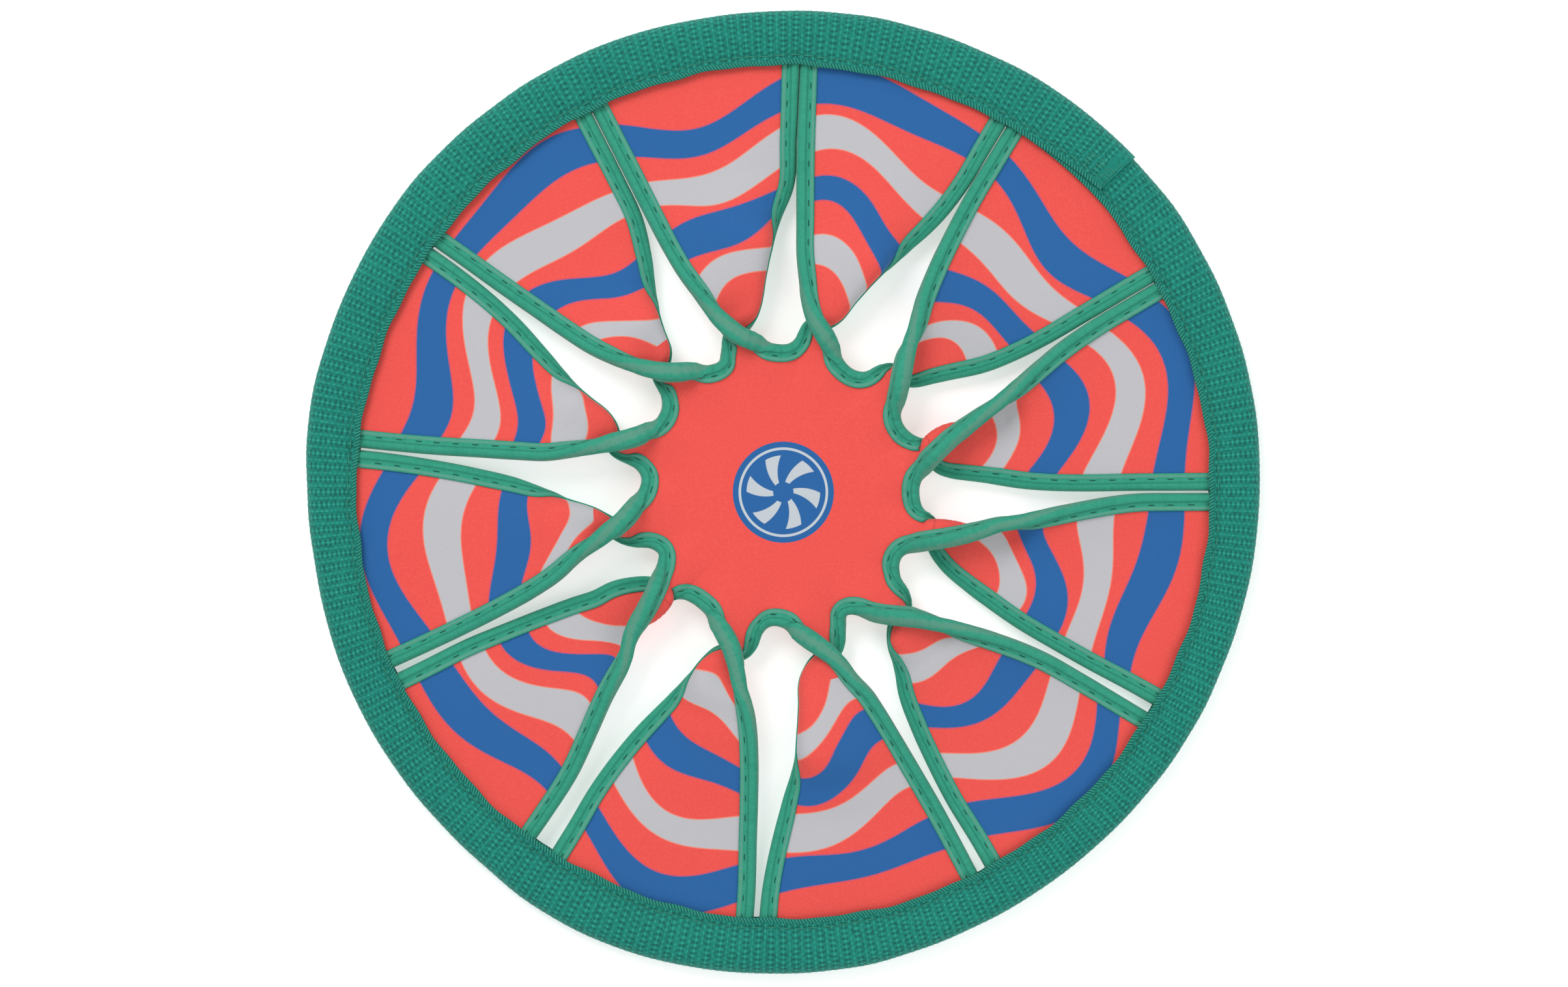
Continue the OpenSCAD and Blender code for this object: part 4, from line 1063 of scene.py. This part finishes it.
# rim stitching, both faces
NST = 190
pts = []; nr_ = []; tn = []
i3 = int(np.argmin(np.abs(yy - 3.0)))
for side in (0, 1):
    ii = i3 if side == 0 else ROWS - 1 - i3
    at = LAP_END + 0.6 + (np.arange(NST) + 0.5 * side) / NST * 359.4
    at = at + rng.uniform(-0.12, 0.12, NST)
    fx = (at - LAP_START) / 360 * RIBS * PER
    i0 = np.clip(np.floor(fx).astype(int), 0, COLS - 2); i1 = i0 + 1; f = (fx - np.floor(fx))[:, None]
    rows3 = blur(ring[:, ii, :], 2)
    p = rows3[i0] * (1 - f) + rows3[i1] * f
    nz = np.array([0, 0, 1.0 if side == 0 else -1.0])
    cc = np.radians(at)
    tt = np.stack([np.cos(cc), -np.sin(cc), np.zeros(NST)], -1)
    pts.append(p + nz * 0.12); nr_.append(np.repeat(nz[None], NST, 0)); tn.append(tt)
o = capsules("rim_stitching", m_rimthread, np.concatenate(pts), np.concatenate(nr_), np.concatenate(tn), 3.7, 0.2, 0.3)
add(o, "rim_thread", "rim_thread")

# the lap is sewn down with short rows along the rim and one row across its folded end
pts = []; tn = []; nn_ = []
seed = np.random.default_rng(5)


def on_tape(clock, y):
    """Point and normal of the tape's upper face at a clock angle on its outer run, y mm from the mouth."""
    i = int(round((clock + 360 - LAP_START) / 360 * RIBS * PER)); i = min(max(i, 1), COLS - 2)
    k = int(np.argmin(np.abs(yy - y)))
    p = ring[max(i - 3, 0):i + 4, max(k - 2, 0):k + 3].reshape(-1, 3).mean(0)
    ta = ring[i + 1, k] - ring[i - 1, k]; ra = ring[i, min(k + 3, ROWS - 1)] - ring[i, max(k - 3, 0)]
    n = unit(np.cross(ra, ta)); n = n if n[2] > 0 else -n
    return p, n, unit(ta)


for y in (4.6, 6.0, 7.3, 8.7):
    for c0 in (42.6, 44.0, 45.4):
        p, n, t = on_tape(c0 + seed.uniform(-0.25, 0.25), y + seed.uniform(-0.15, 0.15))
        pts.append(p + n * 0.1); nn_.append(n); tn.append(t)
for y in np.arange(1.6, 13.6, 2.4):
    p, n, t = on_tape(LAP_END - 0.75, y)
    pts.append(p + n * 0.1); nn_.append(n); tn.append(unit(np.cross(n, t)))
o = capsules("lap_stitching", m_rimthread, np.array(pts), np.array(nn_), np.array(tn), 2.3, 0.2, 0.3)
add(o, "rim_thread", "lap_thread")

# hoop and its joining plug, inside the webbing
HC = 360
hc = np.arange(HC) / HC * 360
ho = out_of_round(hc)


def tube(name, mat, clocks, ro, ri, cap):
    """A tube along the hoop line; closed round the ring when cap is False."""
    a = np.arange(20) / 20 * 2 * math.pi
    c = np.radians(clocks)
    R = 145.77 - 0.06 + np.interp(clocks % 360, hc, ho) - 0.6 * lap_bump(clocks)
    prof = [np.stack([ro * np.cos(a), ro * np.sin(a)], 1)]
    if ri:
        prof.append(np.stack([ri * np.cos(a), ri * np.sin(a)], 1)[::-1])
    P = []
    for pr in prof:
        r = R[:, None] + pr[None, :, 0]
        P.append(np.stack([r * np.sin(c)[:, None], r * np.cos(c)[:, None], (RIM_Z + 0.57 * lap_bump(clocks))[:, None] + pr[None, :, 1]], -1))
    n = len(clocks); F = []; base = 0; m = 20
    for k in range(len(prof)):
        ids = base + np.arange(n * m).reshape(n, m)
        if cap:
            A, B = ids[:-1], ids[1:]
        else:
            A, B = ids, np.roll(ids, -1, 0)
        F.append(np.stack([A, np.roll(A, -1, 1), np.roll(B, -1, 1), B], -1).reshape(-1, 4))
        base += n * m
    T = []
    if cap:
        if len(prof) == 2:
            o0 = np.arange(m); i0 = n * m + np.arange(m)[::-1]
            for e, flip in ((0, False), ((n - 1) * m, True)):
                A = o0 + e; B = i0 + e
                q = np.stack([A, B, np.roll(B, -1), np.roll(A, -1)], -1)
                F.append(q[:, ::-1] if flip else q)
        else:
            for e, flip in ((0, False), ((n - 1) * m, True)):
                A = np.arange(m) + e
                t = np.stack([np.full(m - 2, A[0]), A[1:-1], A[2:]], -1)
                T.append(t if flip else t[:, ::-1])
    faces = [np.concatenate(F)] + ([np.concatenate(T)] if T else [])
    return new_mesh(name, np.concatenate([p.reshape(-1, 3) for p in P]), faces, [mat])


o = tube("rim_hoop_tube", m_hoop, np.linspace(225.02, 584.98, 361), 2.88, 1.6, True)
add(o, "hoop", "rim_hoop")
o = tube("hoop_plug", m_join, np.linspace(218, 232, 15), 1.56, 0, True)
add(o, "joiner", "hoop_joiner")

for ob in bpy.context.scene.objects:
    if ob.type == "MESH" and ob.name.startswith("rim_webbing_tape"):
        print("webbing z", ob.dimensions[:])

# ---------------------------------------------------------------- stage, light and camera
bpy.ops.mesh.primitive_plane_add(size=6, location=(0, 0, -0.0004))
floor = bpy.context.object; floor.name = "floor"
N = Nodes("floor_pale")
fn = N.noise(N.pos(), 300.0, 2.0, 0.5)
N.finish(N.mix(fn, (0.93, 0.93, 0.93), (0.95, 0.95, 0.95)), 0.9, spec=0.1)
N.bsdf.inputs["Emission Color"].default_value = (1, 1, 1, 1)
N.bsdf.inputs["Emission Strength"].default_value = 0.42
floor.data.materials.append(N.m)


def lamp(name, loc, size, power, target=(0, 0, 0)):
    d = bpy.data.lights.new(name, "AREA"); d.energy = power; d.shape = "DISK"; d.size = size
    o = bpy.data.objects.new(name, d); bpy.context.scene.collection.objects.link(o)
    o.location = loc
    o.rotation_euler = (Vector(target) - Vector(loc)).to_track_quat("-Z", "Y").to_euler()
    return o


lamp("key", (-0.9, 1.3, 1.6), 1.2, 21.5)
lamp("fill", (1.2, -0.6, 1.5), 1.6, 9)
world = bpy.data.worlds.new("studio"); bpy.context.scene.world = world
world.use_nodes = True
world.node_tree.nodes["Background"].inputs[0].default_value = (1, 1, 1, 1)
world.node_tree.nodes["Background"].inputs[1].default_value = 0.54

cd = bpy.data.cameras.new("camera"); cam = bpy.data.objects.new("camera", cd)
bpy.context.scene.collection.objects.link(cam)
bpy.context.scene.camera = cam
cam.location = (0, 0, 2.0); cam.rotation_euler = (0, 0, 0)
cd.sensor_width = 36.0
view_w = 2408 * (150 / 736) / 1000
cd.lens = 36.0 * (2.0 - 0.006) / view_w
cd.shift_x = (1204 - 1203) / 2408
cd.shift_y = (755.5 - 757.5) / 2408
cd.clip_start = 0.05; cd.clip_end = 20
sc = bpy.context.scene
sc.view_settings.view_transform = "Standard"
